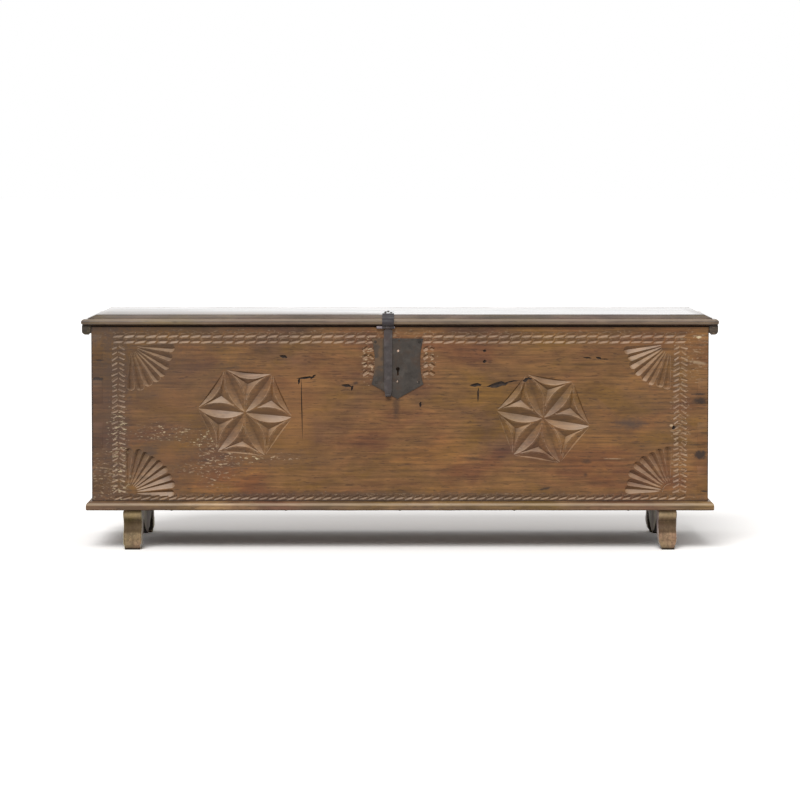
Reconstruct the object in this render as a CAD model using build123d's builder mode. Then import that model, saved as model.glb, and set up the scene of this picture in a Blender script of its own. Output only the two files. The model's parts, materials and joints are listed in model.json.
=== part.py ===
from build123d import *
from math import atan, degrees, radians, tan
import os

os.makedirs("parts", exist_ok=True)

# Carved blanket chest, in millimetres. X runs along the chest, the front faces -Y and Z is up.
# The origin is on the floor, under the middle of the whole object.

# Case
lid_length = 1500.0
lid_end_overhang = 23.0  # lid past each side board
case_depth = 450.0
case_height = 415.0
wall = 26.0  # front, back and side boards
front_overhang = 14.0  # lid nose and bottom board in front of the front board

# Dovetails at the four corners
tail_count = 4
pin_width = 44.5  # between two tails, on the outer face
tail_slope = 9.0  # degrees

# Lid and its moulded edge
lid_thickness = 25.0
lid_back_gap = 0.5  # lid's rear edge in front of the back face
slope_start = 33.0  # from the nose tip back to the flat top
quirk_at = 15.0
slope_drop = 8.5
quirk_depth = 1.5
cleat_width = 20.5
cleat_height = 22.0
cleat_side_gap = 1.2
cleat_round = 9.0
cleat_front_setback = 3.0
cleat_back_setback = 4.0

# Bottom board
bottom_thickness = 22.0
bottom_end_overhang = 14.0
bottom_upper_round = 11.5
bottom_lower_round = 3.5

# Runner feet
foot_height = 93.0
foot_width = 46.0
foot_inset = 86.0  # from the bottom board's end to the foot's outer side
foot_setback = 10.0  # from the bottom board's front and back edges
toe_length = 45.0
toe_heel_round = 4.0
arch_apex_in = 76.0  # arch's highest point, from the foot's end
arch_apex_height = 64.0
arch_slope_sag = 32.0  # height of the arch's long slope halfway to the pendant
pendant_height = 15.0
pendant_half = 9.0
brow_height = 21.0  # convex part of the ogee, under the bottom board
waist_depth = 17.0
waist_height = 59.0
toe_brow_height = 43.0
toe_bulge_height = 23.0

# Lock
lock_x = -6.0
plate_thickness = 2.0
plate_top_drop = 31.0  # below the case's top
plate_corner_drop = 139.0
plate_point_drop = 173.5
plate_half_width = 61.0
plate_waist_half = 53.5
keyhole_x = -5.0
keyhole_drop = 103.0
keyhole_radius = 4.5
keyhole_slot_width = 4.0
keyhole_slot_length = 15.0
pocket_width = 92.0
pocket_top_drop = 50.0
pocket_height = 78.0
pocket_depth = 17.0
bolt_drop = 86.0
bolt_height = 10.0
bolt_thickness = 4.0
bolt_length = 60.0
bolt_travel = 12.0
talon_width = 9.0
talon_depth = 3.0
keeper_width = 7.0
keeper_thickness = 2.0
spring_thickness = 1.4
spring_reach = 34.0  # from the spring's rivet to its bend
spring_foot_size = 9.0
rivet_drop = 60.5

# Hasp
hasp_x = -28.0
hasp_width = 20.0
hasp_thickness = 4.0
hasp_length = 171.0
hasp_end_reach = 9.0
hasp_pin_radius = 2.0
hasp_eye_radius = 4.2
hasp_eye_width = 10.0
hasp_pin_butt = 13.5
hasp_pin_butt_radius = 3.6
strap_width = 27.5
strap_thickness = 2.5
strap_reach = 150.0
strap_wrap = 165.0  # degrees round the lid's nose
hasp_finger_width = 13.0
staple_thickness = 4.0
staple_bar = 3.0
staple_opening = 13.0
staple_depth = 9.0

# Back hinges
hinge_spacing = 900.0
hinge_width = 44.0
hinge_tip_width = 20.0
hinge_leaf = 2.5
hinge_knuckle_radius = 5.5
hinge_pin_radius = 2.5
hinge_pin_head = 3.6
hinge_axis_back = 6.0  # behind the back face
lid_leaf_shoulder = 30.0  # where the leaf starts to narrow
lid_leaf_neck = 70.0  # where it is at its narrow width
lid_leaf_length = 145.0
back_leaf_shoulder = 50.0
back_leaf_neck = 62.0
back_leaf_length = 125.0
leaf_point = 10.0  # length of the pointed end

# Fastenings
nail_shank = 3.0
nail_head_radius = 4.5
nail_head_height = 2.2
small_nail_shank = 2.4
small_nail_head = 3.4
small_nail_height = 1.6
plate_nail_length = 19.0
strap_nail_length = 17.0
bottom_nail_length = 60.0
cleat_nail_length = 36.0
plate_nail_inset = 9.0  # from the plate's upper corners
plate_nail_drop = 8.0
low_plate_nail_inset = 11.0  # from its lower corners
low_plate_nail_rise = 5.0
leaf_nail_across = 10.0
lid_leaf_nail_reaches = [42, 56, 92, 128]  # forward of the back face
back_leaf_nail_drops = [22, 38, 72, 108]  # below the lid
strap_nail_across = 7.0
strap_nail_reaches = [36, 50, 92, 134]  # behind the front face
bottom_nail_columns = [-540, -270, 0, 270, 540]
side_nail_rows = [-120, 0, 120]
cleat_nail_rows = [-180, -60, 60, 180]
peg_radius = 7.0
peg_depth = 34.0  # into the foot

# Clearances
joint_gap = 0.1  # wood let into wood, iron let into wood
pin_gap = 0.08  # hinge pin in its knuckles
hang_gap = 0.4  # between pieces that swing past each other
slide_gap = 0.3  # round the bolt

# Main planes worked out from the sizes above
case_length = lid_length - 2 * lid_end_overhang
z_bottom = foot_height
z_case = z_bottom + bottom_thickness
z_joint = z_case + case_height
z_top = z_joint + lid_thickness
strap_proud = front_overhang + joint_gap + strap_thickness
hasp_front = plate_thickness + hang_gap + hasp_thickness
front_reach = max(strap_proud, hasp_front + hasp_end_reach)
back_reach = hinge_axis_back + hinge_knuckle_radius
y_front = front_reach - (case_depth + front_reach + back_reach) / 2
y_back = y_front + case_depth
y_nose = y_front - front_overhang
y_middle = (y_front + y_back) / 2
z_case_middle = (z_case + z_joint) / 2

front_plane = Plane(origin=(0, y_front, 0), x_dir=(1, 0, 0), z_dir=(0, -1, 0))
back_plane = Plane(origin=(0, y_back, 0), x_dir=(-1, 0, 0), z_dir=(0, 1, 0))


def nail_group(seats, shank, head, head_height, length):
    """Forged nails with square shanks and low faceted heads, one on each seat plane."""
    with BuildPart() as nails:
        for seat in seats:
            with BuildSketch(seat):
                Rectangle(shank, shank)
            extrude(amount=-length, taper=degrees(atan(0.25 * shank / length)))
            with BuildSketch(seat):
                RegularPolygon(head, 8)
            extrude(amount=head_height, taper=40)
    return nails.part


def nail_holes(seats, shank, length):
    """Square holes that clear the shanks of nails on the seat planes."""
    with BuildPart() as holes:
        for seat in seats:
            with BuildSketch(seat):
                Rectangle(shank + 2 * joint_gap, shank + 2 * joint_gap)
            extrude(amount=-(length + joint_gap))
            with BuildSketch(seat):
                Rectangle(shank + 2 * joint_gap, shank + 2 * joint_gap)
            extrude(amount=joint_gap)
    return holes.part


# Corner dovetails: the side boards carry the tails, the front and back boards the sockets.
tail_pitch = case_height / tail_count
tail_outer = tail_pitch - pin_width
tail_inner = tail_outer - 2 * wall * tan(radians(tail_slope))
tail_centres = [z_case + tail_pitch * (row + 0.5) for row in range(tail_count)]


def tail_faces(y_outer, y_inner, gap):
    """Tails of one corner seen from the chest's end, each grown by gap on its sloping sides."""
    with BuildSketch() as tails:
        for z in tail_centres:
            half_outer = tail_outer / 2 + gap
            half_inner = tail_inner / 2 + gap
            with BuildLine():
                Polyline(
                    (y_outer, z - half_outer),
                    (y_outer, z + half_outer),
                    (y_inner, z + half_inner),
                    (y_inner, z - half_inner),
                    close=True,
                )
            make_face()
    return tails.sketch


def corner_sockets(y_outer, y_inner):
    """Sockets at both ends of a front or back board."""
    socket_start = case_length / 2 - wall - joint_gap
    with BuildPart() as sockets:
        with BuildSketch(Plane.YZ.offset(socket_start)):
            add(tail_faces(y_outer, y_inner, joint_gap))
        extrude(amount=wall + joint_gap)
        mirror(about=Plane.YZ)
    return sockets.part


# Seats of every group of fastenings
plate_nail_spots = [
    (lock_x - plate_half_width + plate_nail_inset, -plate_top_drop - plate_nail_drop),
    (lock_x + plate_half_width - plate_nail_inset, -plate_top_drop - plate_nail_drop),
    (lock_x - plate_half_width + low_plate_nail_inset, -plate_corner_drop + low_plate_nail_rise),
    (lock_x + plate_half_width - low_plate_nail_inset, -plate_corner_drop + low_plate_nail_rise),
    (keyhole_x, -plate_corner_drop + low_plate_nail_rise + 1),
]
plate_nail_seats = [
    Plane(origin=(x, y_front - plate_thickness, z_joint + z), x_dir=(1, 0, 0), z_dir=(0, -1, 0))
    for x, z in plate_nail_spots
]
lost_nail_seat = Plane(
    origin=(lock_x + 4, y_front - plate_thickness, z_joint - plate_top_drop - 5),
    x_dir=(1, 0, 0),
    z_dir=(0, -1, 0),
)
rivet_seat = Plane(
    origin=(keyhole_x + 1, y_front - plate_thickness, z_joint - rivet_drop),
    x_dir=(1, 0, 0),
    z_dir=(0, -1, 0),
)

hinge_centres = [-hinge_spacing / 2, hinge_spacing / 2]
leaf_nail_sides = [-leaf_nail_across, leaf_nail_across, 0, 0]
strap_nail_sides = [-strap_nail_across, strap_nail_across, 1 - strap_nail_across, 0]
z_hinge = z_joint + hinge_leaf / 2
y_hinge = y_back + hinge_axis_back
back_leaf_nail_seats = [
    Plane(origin=(x + dx, y_back + hinge_leaf, z_joint - drop), x_dir=(-1, 0, 0), z_dir=(0, 1, 0))
    for x in hinge_centres
    for dx, drop in zip(leaf_nail_sides, back_leaf_nail_drops)
]
lid_leaf_nail_seats = [
    Plane(origin=(x + dx, y_back - reach, z_joint), x_dir=(1, 0, 0), z_dir=(0, 0, -1))
    for x in hinge_centres
    for dx, reach in zip(leaf_nail_sides, lid_leaf_nail_reaches)
]
strap_nail_seats = [
    Plane(origin=(hasp_x + dx, y_front + reach, z_top + strap_thickness), x_dir=(1, 0, 0), z_dir=(0, 0, 1))
    for dx, reach in zip(strap_nail_sides, strap_nail_reaches)
]
bottom_nail_seats = [
    Plane(origin=(x, y, z_bottom), x_dir=(1, 0, 0), z_dir=(0, 0, -1))
    for x, y in [(x, y) for x in bottom_nail_columns for y in (y_front + wall / 2, y_back - wall / 2)]
    + [(side * (case_length - wall) / 2, y_middle + dy) for side in (-1, 1) for dy in side_nail_rows]
]
cleat_x = case_length / 2 + cleat_side_gap + cleat_width / 2
cleat_nail_seats = [
    Plane(origin=(side * cleat_x, y_middle + dy, z_joint - cleat_height), x_dir=(1, 0, 0), z_dir=(0, 0, -1))
    for side in (-1, 1)
    for dy in cleat_nail_rows
]

# Front board with its lock pocket, open to the plate
bolt_z = z_joint - bolt_drop
with BuildPart() as front_board:
    with Locations((0, y_front + wall / 2, z_case_middle)):
        Box(case_length, wall, case_height)
    add(corner_sockets(y_front, y_front + wall), mode=Mode.SUBTRACT)
    with BuildSketch(front_plane):
        with Locations((lock_x, z_joint - pocket_top_drop - pocket_height / 2)):
            Rectangle(pocket_width, pocket_height)
        fillet(vertices(), radius=4)
    extrude(amount=-pocket_depth, mode=Mode.SUBTRACT)
    add(nail_holes(plate_nail_seats, small_nail_shank, plate_nail_length), mode=Mode.SUBTRACT)
    front_nails = [seat for seat in bottom_nail_seats if seat.origin.Y < y_front + wall]
    add(nail_holes(front_nails, nail_shank, bottom_nail_length), mode=Mode.SUBTRACT)
front_board.part.label = "front_board"
export_step(front_board.part, "parts/front_board.step")

with BuildPart() as back_board:
    with Locations((0, y_back - wall / 2, z_case_middle)):
        Box(case_length, wall, case_height)
    add(corner_sockets(y_back, y_back - wall), mode=Mode.SUBTRACT)
    add(nail_holes(back_leaf_nail_seats, small_nail_shank, plate_nail_length), mode=Mode.SUBTRACT)
    back_nails = [seat for seat in bottom_nail_seats if seat.origin.Y > y_back - wall]
    add(nail_holes(back_nails, nail_shank, bottom_nail_length), mode=Mode.SUBTRACT)
back_board.part.label = "back_board"
export_step(back_board.part, "parts/back_board.step")

# Side boards, with tails that show as end grain on the front and back
with BuildPart() as right_side_board:
    with BuildSketch(Plane.YZ.offset(case_length / 2 - wall)):
        with Locations((y_middle, z_case_middle)):
            Rectangle(case_depth - 2 * wall, case_height)
        add(tail_faces(y_front, y_front + wall, 0))
        add(tail_faces(y_back, y_back - wall, 0))
    extrude(amount=wall)
    side_nails = [seat for seat in bottom_nail_seats if seat.origin.X > case_length / 2 - wall]
    add(nail_holes(side_nails, nail_shank, bottom_nail_length), mode=Mode.SUBTRACT)
right_side_board.part.label = "right_side_board"
export_step(right_side_board.part, "parts/right_side_board.step")

with BuildPart() as left_side_board:
    add(right_side_board.part.mirror(Plane.YZ))
left_side_board.part.label = "left_side_board"
export_step(left_side_board.part, "parts/left_side_board.step")


# Bottom board: thumbnail edge on the front and both ends
def bottom_section(tip, inner):
    """Bottom board cut across one moulded edge, from its tip back to a square edge."""
    z_upper = z_case - bottom_upper_round
    z_lower = z_bottom + bottom_lower_round
    with BuildSketch() as section:
        with BuildLine():
            upper = CenterArc((tip + bottom_upper_round, z_upper), bottom_upper_round, 90, 90)
            lower = CenterArc((tip + bottom_lower_round, z_lower), bottom_lower_round, 180, 90)
            Line(upper @ 1, lower @ 0)
            Polyline(lower @ 1, (inner, z_bottom), (inner, z_case), upper @ 0)
        make_face()
    return section.sketch


bottom_length = case_length + 2 * bottom_end_overhang
foot_x = bottom_length / 2 - foot_inset - foot_width / 2
foot_y_front = y_nose + foot_setback
foot_y_back = y_back - foot_setback
foot_y_middle = (foot_y_front + foot_y_back) / 2
peg_spots = [
    (side * foot_x, y) for side in (-1, 1) for y in (foot_y_front + 50, foot_y_middle, foot_y_back - 50)
]

with BuildPart() as bottom_board:
    with BuildSketch(Plane.YZ.offset(-bottom_length / 2)):
        add(bottom_section(y_nose, y_back))
    extrude(amount=bottom_length)
    with BuildSketch(Plane.XZ.offset(-y_nose)):
        add(bottom_section(-bottom_length / 2, 0))
        mirror(about=Plane.YZ)
    extrude(amount=-(y_back - y_nose), mode=Mode.INTERSECT)
    with Locations(*[(x, y, z_case) for x, y in peg_spots]):
        Hole(peg_radius + joint_gap, depth=bottom_thickness)
    add(nail_holes(bottom_nail_seats, nail_shank, bottom_nail_length), mode=Mode.SUBTRACT)
bottom_board.part.label = "bottom_board"
export_step(bottom_board.part, "parts/bottom_board.step")

bottom_nails = nail_group(
    bottom_nail_seats, nail_shank, nail_head_radius, nail_head_height, bottom_nail_length
)
bottom_nails.label = "bottom_nails"
export_step(bottom_nails, "parts/bottom_nails.step")

# Runner feet: an ogee at each end and two arches that meet in a pendant
with BuildPart() as right_runner_foot:
    with BuildSketch(Plane.YZ.offset(foot_x - foot_width / 2)):
        with BuildLine():
            end = foot_y_front
            brow = ThreePointArc(
                (end + 5, foot_height),
                (end, foot_height - brow_height / 2),
                (end + 7, foot_height - brow_height),
            )
            waist = ThreePointArc(
                brow @ 1, (end + waist_depth, waist_height), (end + 8, toe_brow_height)
            )
            toe = ThreePointArc(waist @ 1, (end, toe_bulge_height), (end + 7, 4))
            sole = Polyline(toe @ 1, (end + 11, 0), (end + toe_length - toe_heel_round, 0))
            heel = Line(sole @ 1, (end + toe_length, toe_heel_round))
            jamb = Line(heel @ 1, (end + arch_apex_in - 14, arch_apex_height - 9))
            apex = (end + arch_apex_in, arch_apex_height)
            crown = ThreePointArc(jamb @ 1, apex, (end + arch_apex_in + 16, arch_apex_height - 5))
            pendant_start = (foot_y_middle - pendant_half, pendant_height + 5)
            slope_middle = ((end + arch_apex_in + 16 + pendant_start[0]) / 2, arch_slope_sag)
            ThreePointArc(crown @ 1, slope_middle, pendant_start)
            pendant = ThreePointArc(
                pendant_start,
                (foot_y_middle - pendant_half / 2, pendant_height + 0.8),
                (foot_y_middle, pendant_height),
            )
            Polyline(pendant @ 1, (foot_y_middle, foot_height), brow @ 0)
        make_face()
        mirror(about=Plane.YZ.offset(foot_y_middle))
    extrude(amount=foot_width)
    with Locations(*[(x, y, foot_height) for x, y in peg_spots if x > 0]):
        Hole(peg_radius + joint_gap, depth=peg_depth + joint_gap)
right_runner_foot.part.label = "right_runner_foot"
export_step(right_runner_foot.part, "parts/right_runner_foot.step")

with BuildPart() as left_runner_foot:
    add(right_runner_foot.part.mirror(Plane.YZ))
left_runner_foot.part.label = "left_runner_foot"
export_step(left_runner_foot.part, "parts/left_runner_foot.step")

with BuildPart() as foot_pegs:
    with Locations(*[(x, y, z_case) for x, y in peg_spots]):
        Cylinder(
            peg_radius, bottom_thickness + peg_depth, align=(Align.CENTER, Align.CENTER, Align.MAX)
        )
foot_pegs.part.label = "foot_pegs"
export_step(foot_pegs.part, "parts/foot_pegs.step")

# Lid board
nose_radius = (lid_thickness - slope_drop - quirk_depth) / 2


def lid_section(tip, inner):
    """Lid cut across one moulded edge: half-round nose, quirk, shallow slope, flat top."""
    with BuildSketch() as section:
        with BuildLine():
            nose = CenterArc((tip + nose_radius, z_joint + nose_radius), nose_radius, 90, 180)
            Polyline(
                nose @ 0,
                (tip + quirk_at, z_joint + 2 * nose_radius),
                (tip + quirk_at, z_top - slope_drop),
                (tip + slope_start, z_top),
                (inner, z_top),
                (inner, z_joint),
                nose @ 1,
            )
        make_face()
    return section.sketch


def leaf_outline(x, root, top, stations, gap):
    """Hinge leaf, from its root to a point; its stations are measured back from top."""
    shoulder, neck, length = stations
    half_root = hinge_width / 2 - gap
    half_neck = hinge_tip_width / 2 - gap
    with BuildSketch() as leaf:
        with BuildLine():
            Polyline(
                (x - half_root, root),
                (x + half_root, root),
                (x + half_root, top - shoulder + gap),
                (x + half_neck, top - neck + gap),
                (x + half_neck, top - length + leaf_point),
                (x, top - length + 2 * gap),
                (x - half_neck, top - length + leaf_point),
                (x - half_neck, top - neck + gap),
                (x - half_root, top - shoulder + gap),
                close=True,
            )
        make_face()
    return leaf.sketch


y_lid_back = y_back - lid_back_gap
lid_leaf_stations = (lid_leaf_shoulder, lid_leaf_neck, lid_leaf_length)
back_leaf_stations = (back_leaf_shoulder, back_leaf_neck, back_leaf_length)
with BuildPart() as lid_leaf_recesses:
    for x in hinge_centres:
        with BuildSketch(Plane.XY.offset(z_joint)):
            add(leaf_outline(x, y_lid_back, y_back, lid_leaf_stations, 0))
        extrude(amount=hinge_leaf)

with BuildPart() as lid_board:
    with BuildSketch(Plane.YZ.offset(-lid_length / 2)):
        add(lid_section(y_nose, y_lid_back))
    extrude(amount=lid_length)
    with BuildSketch(Plane.XZ.offset(-y_nose)):
        add(lid_section(-lid_length / 2, 0))
        mirror(about=Plane.YZ)
    extrude(amount=-(y_lid_back - y_nose), mode=Mode.INTERSECT)
    add(lid_leaf_recesses.part, mode=Mode.SUBTRACT)
    add(nail_holes(lid_leaf_nail_seats, small_nail_shank, plate_nail_length), mode=Mode.SUBTRACT)
    add(nail_holes(strap_nail_seats, small_nail_shank, strap_nail_length), mode=Mode.SUBTRACT)
    add(nail_holes(cleat_nail_seats, nail_shank, cleat_nail_length), mode=Mode.SUBTRACT)
lid_board.part.label = "lid_board"
export_step(lid_board.part, "parts/lid_board.step")

with BuildPart() as right_lid_cleat:
    cleat_front = y_front - cleat_front_setback
    cleat_back = y_back - cleat_back_setback
    with Locations((cleat_x, (cleat_front + cleat_back) / 2, z_joint - cleat_height / 2)):
        Box(cleat_width, cleat_back - cleat_front, cleat_height)
    lower_edges = right_lid_cleat.edges().filter_by(Axis.Y).group_by(Axis.Z)[0]
    fillet(lower_edges, radius=min(cleat_round, 0.45 * cleat_width))
    right_cleat_nails = [seat for seat in cleat_nail_seats if seat.origin.X > 0]
    add(nail_holes(right_cleat_nails, nail_shank, cleat_nail_length), mode=Mode.SUBTRACT)
right_lid_cleat.part.label = "right_lid_cleat"
export_step(right_lid_cleat.part, "parts/right_lid_cleat.step")

with BuildPart() as left_lid_cleat:
    add(right_lid_cleat.part.mirror(Plane.YZ))
left_lid_cleat.part.label = "left_lid_cleat"
export_step(left_lid_cleat.part, "parts/left_lid_cleat.step")

cleat_nails = nail_group(cleat_nail_seats, nail_shank, nail_head_radius, nail_head_height, cleat_nail_length)
cleat_nails.label = "cleat_nails"
export_step(cleat_nails, "parts/cleat_nails.step")

# Back hinges: the lid leaf has the middle knuckle, the back leaf the outer two
knuckle_width = hinge_width / 3
for name, x in zip(("left", "right"), hinge_centres):
    with BuildPart() as lid_leaf:
        with BuildSketch(Plane.XY.offset(z_joint)):
            add(leaf_outline(x, y_lid_back, y_back, lid_leaf_stations, joint_gap))
            with Locations((x, (y_lid_back + y_hinge) / 2)):
                Rectangle(knuckle_width - 2 * slide_gap, y_hinge - y_lid_back)
        extrude(amount=hinge_leaf)
        with BuildSketch(Plane.YZ.offset(x - knuckle_width / 2 + slide_gap)):
            with Locations((y_hinge, z_hinge)):
                Circle(hinge_knuckle_radius)
        extrude(amount=knuckle_width - 2 * slide_gap)
        with BuildSketch(Plane.YZ.offset(x - knuckle_width / 2)):
            with Locations((y_hinge, z_hinge)):
                Circle(hinge_pin_radius + pin_gap)
        extrude(amount=knuckle_width, mode=Mode.SUBTRACT)
        add(
            nail_holes(lid_leaf_nail_seats, small_nail_shank, plate_nail_length),
            mode=Mode.SUBTRACT,
        )
    lid_leaf.part.label = name + "_hinge_lid_leaf"
    export_step(lid_leaf.part, "parts/" + name + "_hinge_lid_leaf.step")

    with BuildPart() as back_leaf:
        with BuildSketch(back_plane):
            add(leaf_outline(-x, z_hinge, z_joint, back_leaf_stations, 0))
        extrude(amount=hinge_leaf)
        with BuildSketch(Plane.YZ.offset(x - hinge_width / 2)):
            with Locations((y_hinge, z_hinge)):
                Circle(hinge_knuckle_radius)
        extrude(amount=hinge_width)
        notch_bottom = z_hinge - hinge_knuckle_radius - 1.2
        with Locations((x, y_hinge, notch_bottom)):
            Box(
                knuckle_width,
                4 * hinge_knuckle_radius,
                4 * hinge_knuckle_radius,
                align=(Align.CENTER, Align.CENTER, Align.MIN),
                mode=Mode.SUBTRACT,
            )
        with BuildSketch(Plane.YZ.offset(x - hinge_width / 2)):
            with Locations((y_hinge, z_hinge)):
                Circle(hinge_pin_radius + pin_gap)
        extrude(amount=hinge_width, mode=Mode.SUBTRACT)
        add(
            nail_holes(back_leaf_nail_seats, small_nail_shank, plate_nail_length),
            mode=Mode.SUBTRACT,
        )
    back_leaf.part.label = name + "_hinge_back_leaf"
    export_step(back_leaf.part, "parts/" + name + "_hinge_back_leaf.step")

with BuildPart() as hinge_pins:
    for x in hinge_centres:
        with BuildSketch(Plane.YZ.offset(x - hinge_width / 2 - 2)):
            with Locations((y_hinge, z_hinge)):
                Circle(hinge_pin_radius)
        extrude(amount=hinge_width + 4)
        with BuildSketch(Plane.YZ.offset(x + hinge_width / 2 + joint_gap)):
            with Locations((y_hinge, z_hinge)):
                Circle(hinge_pin_head)
        extrude(amount=2.5)
hinge_pins.part.label = "hinge_pins"
export_step(hinge_pins.part, "parts/hinge_pins.step")

back_leaf_nails = nail_group(
    back_leaf_nail_seats, small_nail_shank, small_nail_head, small_nail_height, plate_nail_length
)
back_leaf_nails.label = "back_leaf_nails"
export_step(back_leaf_nails, "parts/back_leaf_nails.step")

lid_leaf_nails = nail_group(
    lid_leaf_nail_seats, small_nail_shank, small_nail_head, small_nail_height, plate_nail_length
)
lid_leaf_nails.label = "lid_leaf_nails"
export_step(lid_leaf_nails, "parts/lid_leaf_nails.step")

# Lock plate, with a keyhole and a slot for the hasp's staple
with BuildPart() as lock_plate:
    with BuildSketch(front_plane):
        top = z_joint - plate_top_drop
        corner = z_joint - plate_corner_drop
        middle = (top + corner) / 2
        with BuildLine():
            right = ThreePointArc(
                (lock_x + plate_half_width, top),
                (lock_x + plate_waist_half, middle),
                (lock_x + plate_half_width, corner),
            )
            left = ThreePointArc(
                (lock_x - plate_half_width, corner),
                (lock_x - plate_waist_half, middle),
                (lock_x - plate_half_width, top),
            )
            Polyline(right @ 1, (lock_x, z_joint - plate_point_drop), left @ 0)
            Line(left @ 1, right @ 0)
        make_face()
        with Locations((keyhole_x, z_joint - keyhole_drop)):
            Circle(keyhole_radius, mode=Mode.SUBTRACT)
            Rectangle(
                keyhole_slot_width,
                keyhole_slot_length,
                align=(Align.CENTER, Align.MAX),
                mode=Mode.SUBTRACT,
            )
        with Locations((hasp_x, bolt_z)):
            Rectangle(
                staple_thickness + 1.2,
                staple_opening + 2 * staple_bar + 5,
                mode=Mode.SUBTRACT,
            )
    extrude(amount=plate_thickness)
    lock_plate_holes = plate_nail_seats + [lost_nail_seat, rivet_seat]
    add(nail_holes(lock_plate_holes, small_nail_shank, plate_nail_length), mode=Mode.SUBTRACT)
lock_plate.part.label = "lock_plate"
export_step(lock_plate.part, "parts/lock_plate.step")

lock_plate_nails = nail_group(
    plate_nail_seats, small_nail_shank, small_nail_head, small_nail_height, plate_nail_length
)
lock_plate_nails.label = "lock_plate_nails"
export_step(lock_plate_nails, "parts/lock_plate_nails.step")

# Lock bolt, which slides towards the staple, in two keepers under a leaf spring
bolt_left = hasp_x + staple_thickness / 2 + 2
with BuildPart() as lock_bolt:
    with BuildSketch(front_plane):
        with Locations((bolt_left + bolt_length / 2, bolt_z)):
            Rectangle(bolt_length, bolt_height)
        with Locations((keyhole_x, bolt_z - bolt_height / 2)):
            Rectangle(
                talon_width,
                talon_depth,
                align=(Align.CENTER, Align.MIN),
                mode=Mode.SUBTRACT,
            )
    extrude(amount=-(bolt_thickness + slide_gap))
    with BuildSketch(front_plane):
        with Locations((lock_x, bolt_z)):
            Rectangle(2 * pocket_width, 3 * bolt_height)
    extrude(amount=-slide_gap, mode=Mode.SUBTRACT)
    bolt_nose = lock_bolt.edges().filter_by(Axis.Y).group_by(Axis.X)[0]
    chamfer(bolt_nose, length=1.5)
lock_bolt.part.label = "lock_bolt"
export_step(lock_bolt.part, "parts/lock_bolt.step")

keeper_places = [bolt_left + 11, bolt_left + bolt_length - bolt_travel - keeper_width]
with BuildPart() as bolt_keepers:
    for x in keeper_places:
        with BuildSketch(Plane.YZ.offset(x - keeper_width / 2)):
            opening_height = bolt_height + 2 * slide_gap
            opening_depth = bolt_thickness + 2 * slide_gap
            with Locations((y_front, bolt_z)):
                Rectangle(
                    opening_depth + keeper_thickness,
                    opening_height + 2 * keeper_thickness,
                    align=(Align.MIN, Align.CENTER),
                )
                Rectangle(
                    opening_depth,
                    opening_height,
                    align=(Align.MIN, Align.CENTER),
                    mode=Mode.SUBTRACT,
                )
        extrude(amount=keeper_width)
bolt_keepers.part.label = "bolt_keepers"
export_step(bolt_keepers.part, "parts/bolt_keepers.step")

# Hairpin spring, riveted to the plate, whose free leaf bears on the bolt
with BuildPart() as bolt_spring:
    with BuildSketch(front_plane):
        rivet_x = keyhole_x + 1
        rivet_z = z_joint - rivet_drop
        leaf_end_z = bolt_z + bolt_height / 2 + slide_gap + spring_thickness / 2 + 0.2
        with BuildLine():
            FilletPolyline(
                (rivet_x, rivet_z),
                (rivet_x + spring_reach, rivet_z - 5),
                (rivet_x + 8, leaf_end_z),
                radius=3,
            )
        trace(line_width=spring_thickness)
        with Locations((rivet_x, rivet_z)):
            Rectangle(spring_foot_size, spring_foot_size)
    extrude(amount=-bolt_thickness)
    add(nail_holes([rivet_seat], small_nail_shank, plate_nail_length), mode=Mode.SUBTRACT)
bolt_spring.part.label = "bolt_spring"
export_step(bolt_spring.part, "parts/bolt_spring.step")

spring_rivet = nail_group(
    [rivet_seat],
    small_nail_shank,
    small_nail_head,
    small_nail_height,
    plate_thickness + bolt_thickness + 1,
)
spring_rivet.label = "spring_rivet"
export_step(spring_rivet, "parts/spring_rivet.step")

# Strap over the lid's front edge, ending in two eyes for the hasp's pin
y_pin = y_front - plate_thickness - hang_gap - hasp_thickness
z_pin = z_joint - hasp_eye_radius - hang_gap
pin_bore = hasp_pin_radius + pin_gap


def round_bar(x_start, length, radius):
    """Cylinder along X on the hasp pin's axis."""
    with BuildPart() as bar:
        with BuildSketch(Plane.YZ.offset(x_start)):
            with Locations((y_pin, z_pin)):
                Circle(radius)
        extrude(amount=length)
    return bar.part


strap_left = hasp_x - strap_width / 2
with BuildPart() as hasp_strap:
    with BuildSketch(Plane.YZ.offset(strap_left)):
        with BuildLine():
            nose_centre = (y_nose + nose_radius, z_joint + nose_radius)
            wrap = CenterArc(nose_centre, nose_radius + joint_gap, 90, strap_wrap)
            Polyline(
                wrap @ 0,
                (y_nose + quirk_at, z_top - slope_drop + joint_gap),
                (y_nose + slope_start, z_top),
                (y_front + strap_reach, z_top),
            )
            offset(amount=strap_thickness, side=Side.RIGHT)
        make_face()
    extrude(amount=strap_width)
    add(round_bar(strap_left, strap_width, hasp_eye_radius))
    gap_width = hasp_eye_width + 2 * slide_gap
    hasp_gap = round_bar(hasp_x - gap_width / 2, gap_width, hasp_eye_radius + hang_gap)
    add(hasp_gap, mode=Mode.SUBTRACT)
    add(round_bar(strap_left - 1, strap_width + 2, pin_bore), mode=Mode.SUBTRACT)
    strap_end = hasp_strap.edges().filter_by(Axis.Z).sort_by(Axis.Y)[-2:]
    fillet(strap_end, radius=0.3 * strap_width)
    add(nail_holes(strap_nail_seats, small_nail_shank, strap_nail_length), mode=Mode.SUBTRACT)
hasp_strap.part.label = "hasp_strap"
export_step(hasp_strap.part, "parts/hasp_strap.step")

hasp_strap_nails = nail_group(
    strap_nail_seats, small_nail_shank, small_nail_head, small_nail_height, strap_nail_length
)
hasp_strap_nails.label = "hasp_strap_nails"
export_step(hasp_strap_nails, "parts/hasp_strap_nails.step")

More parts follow.
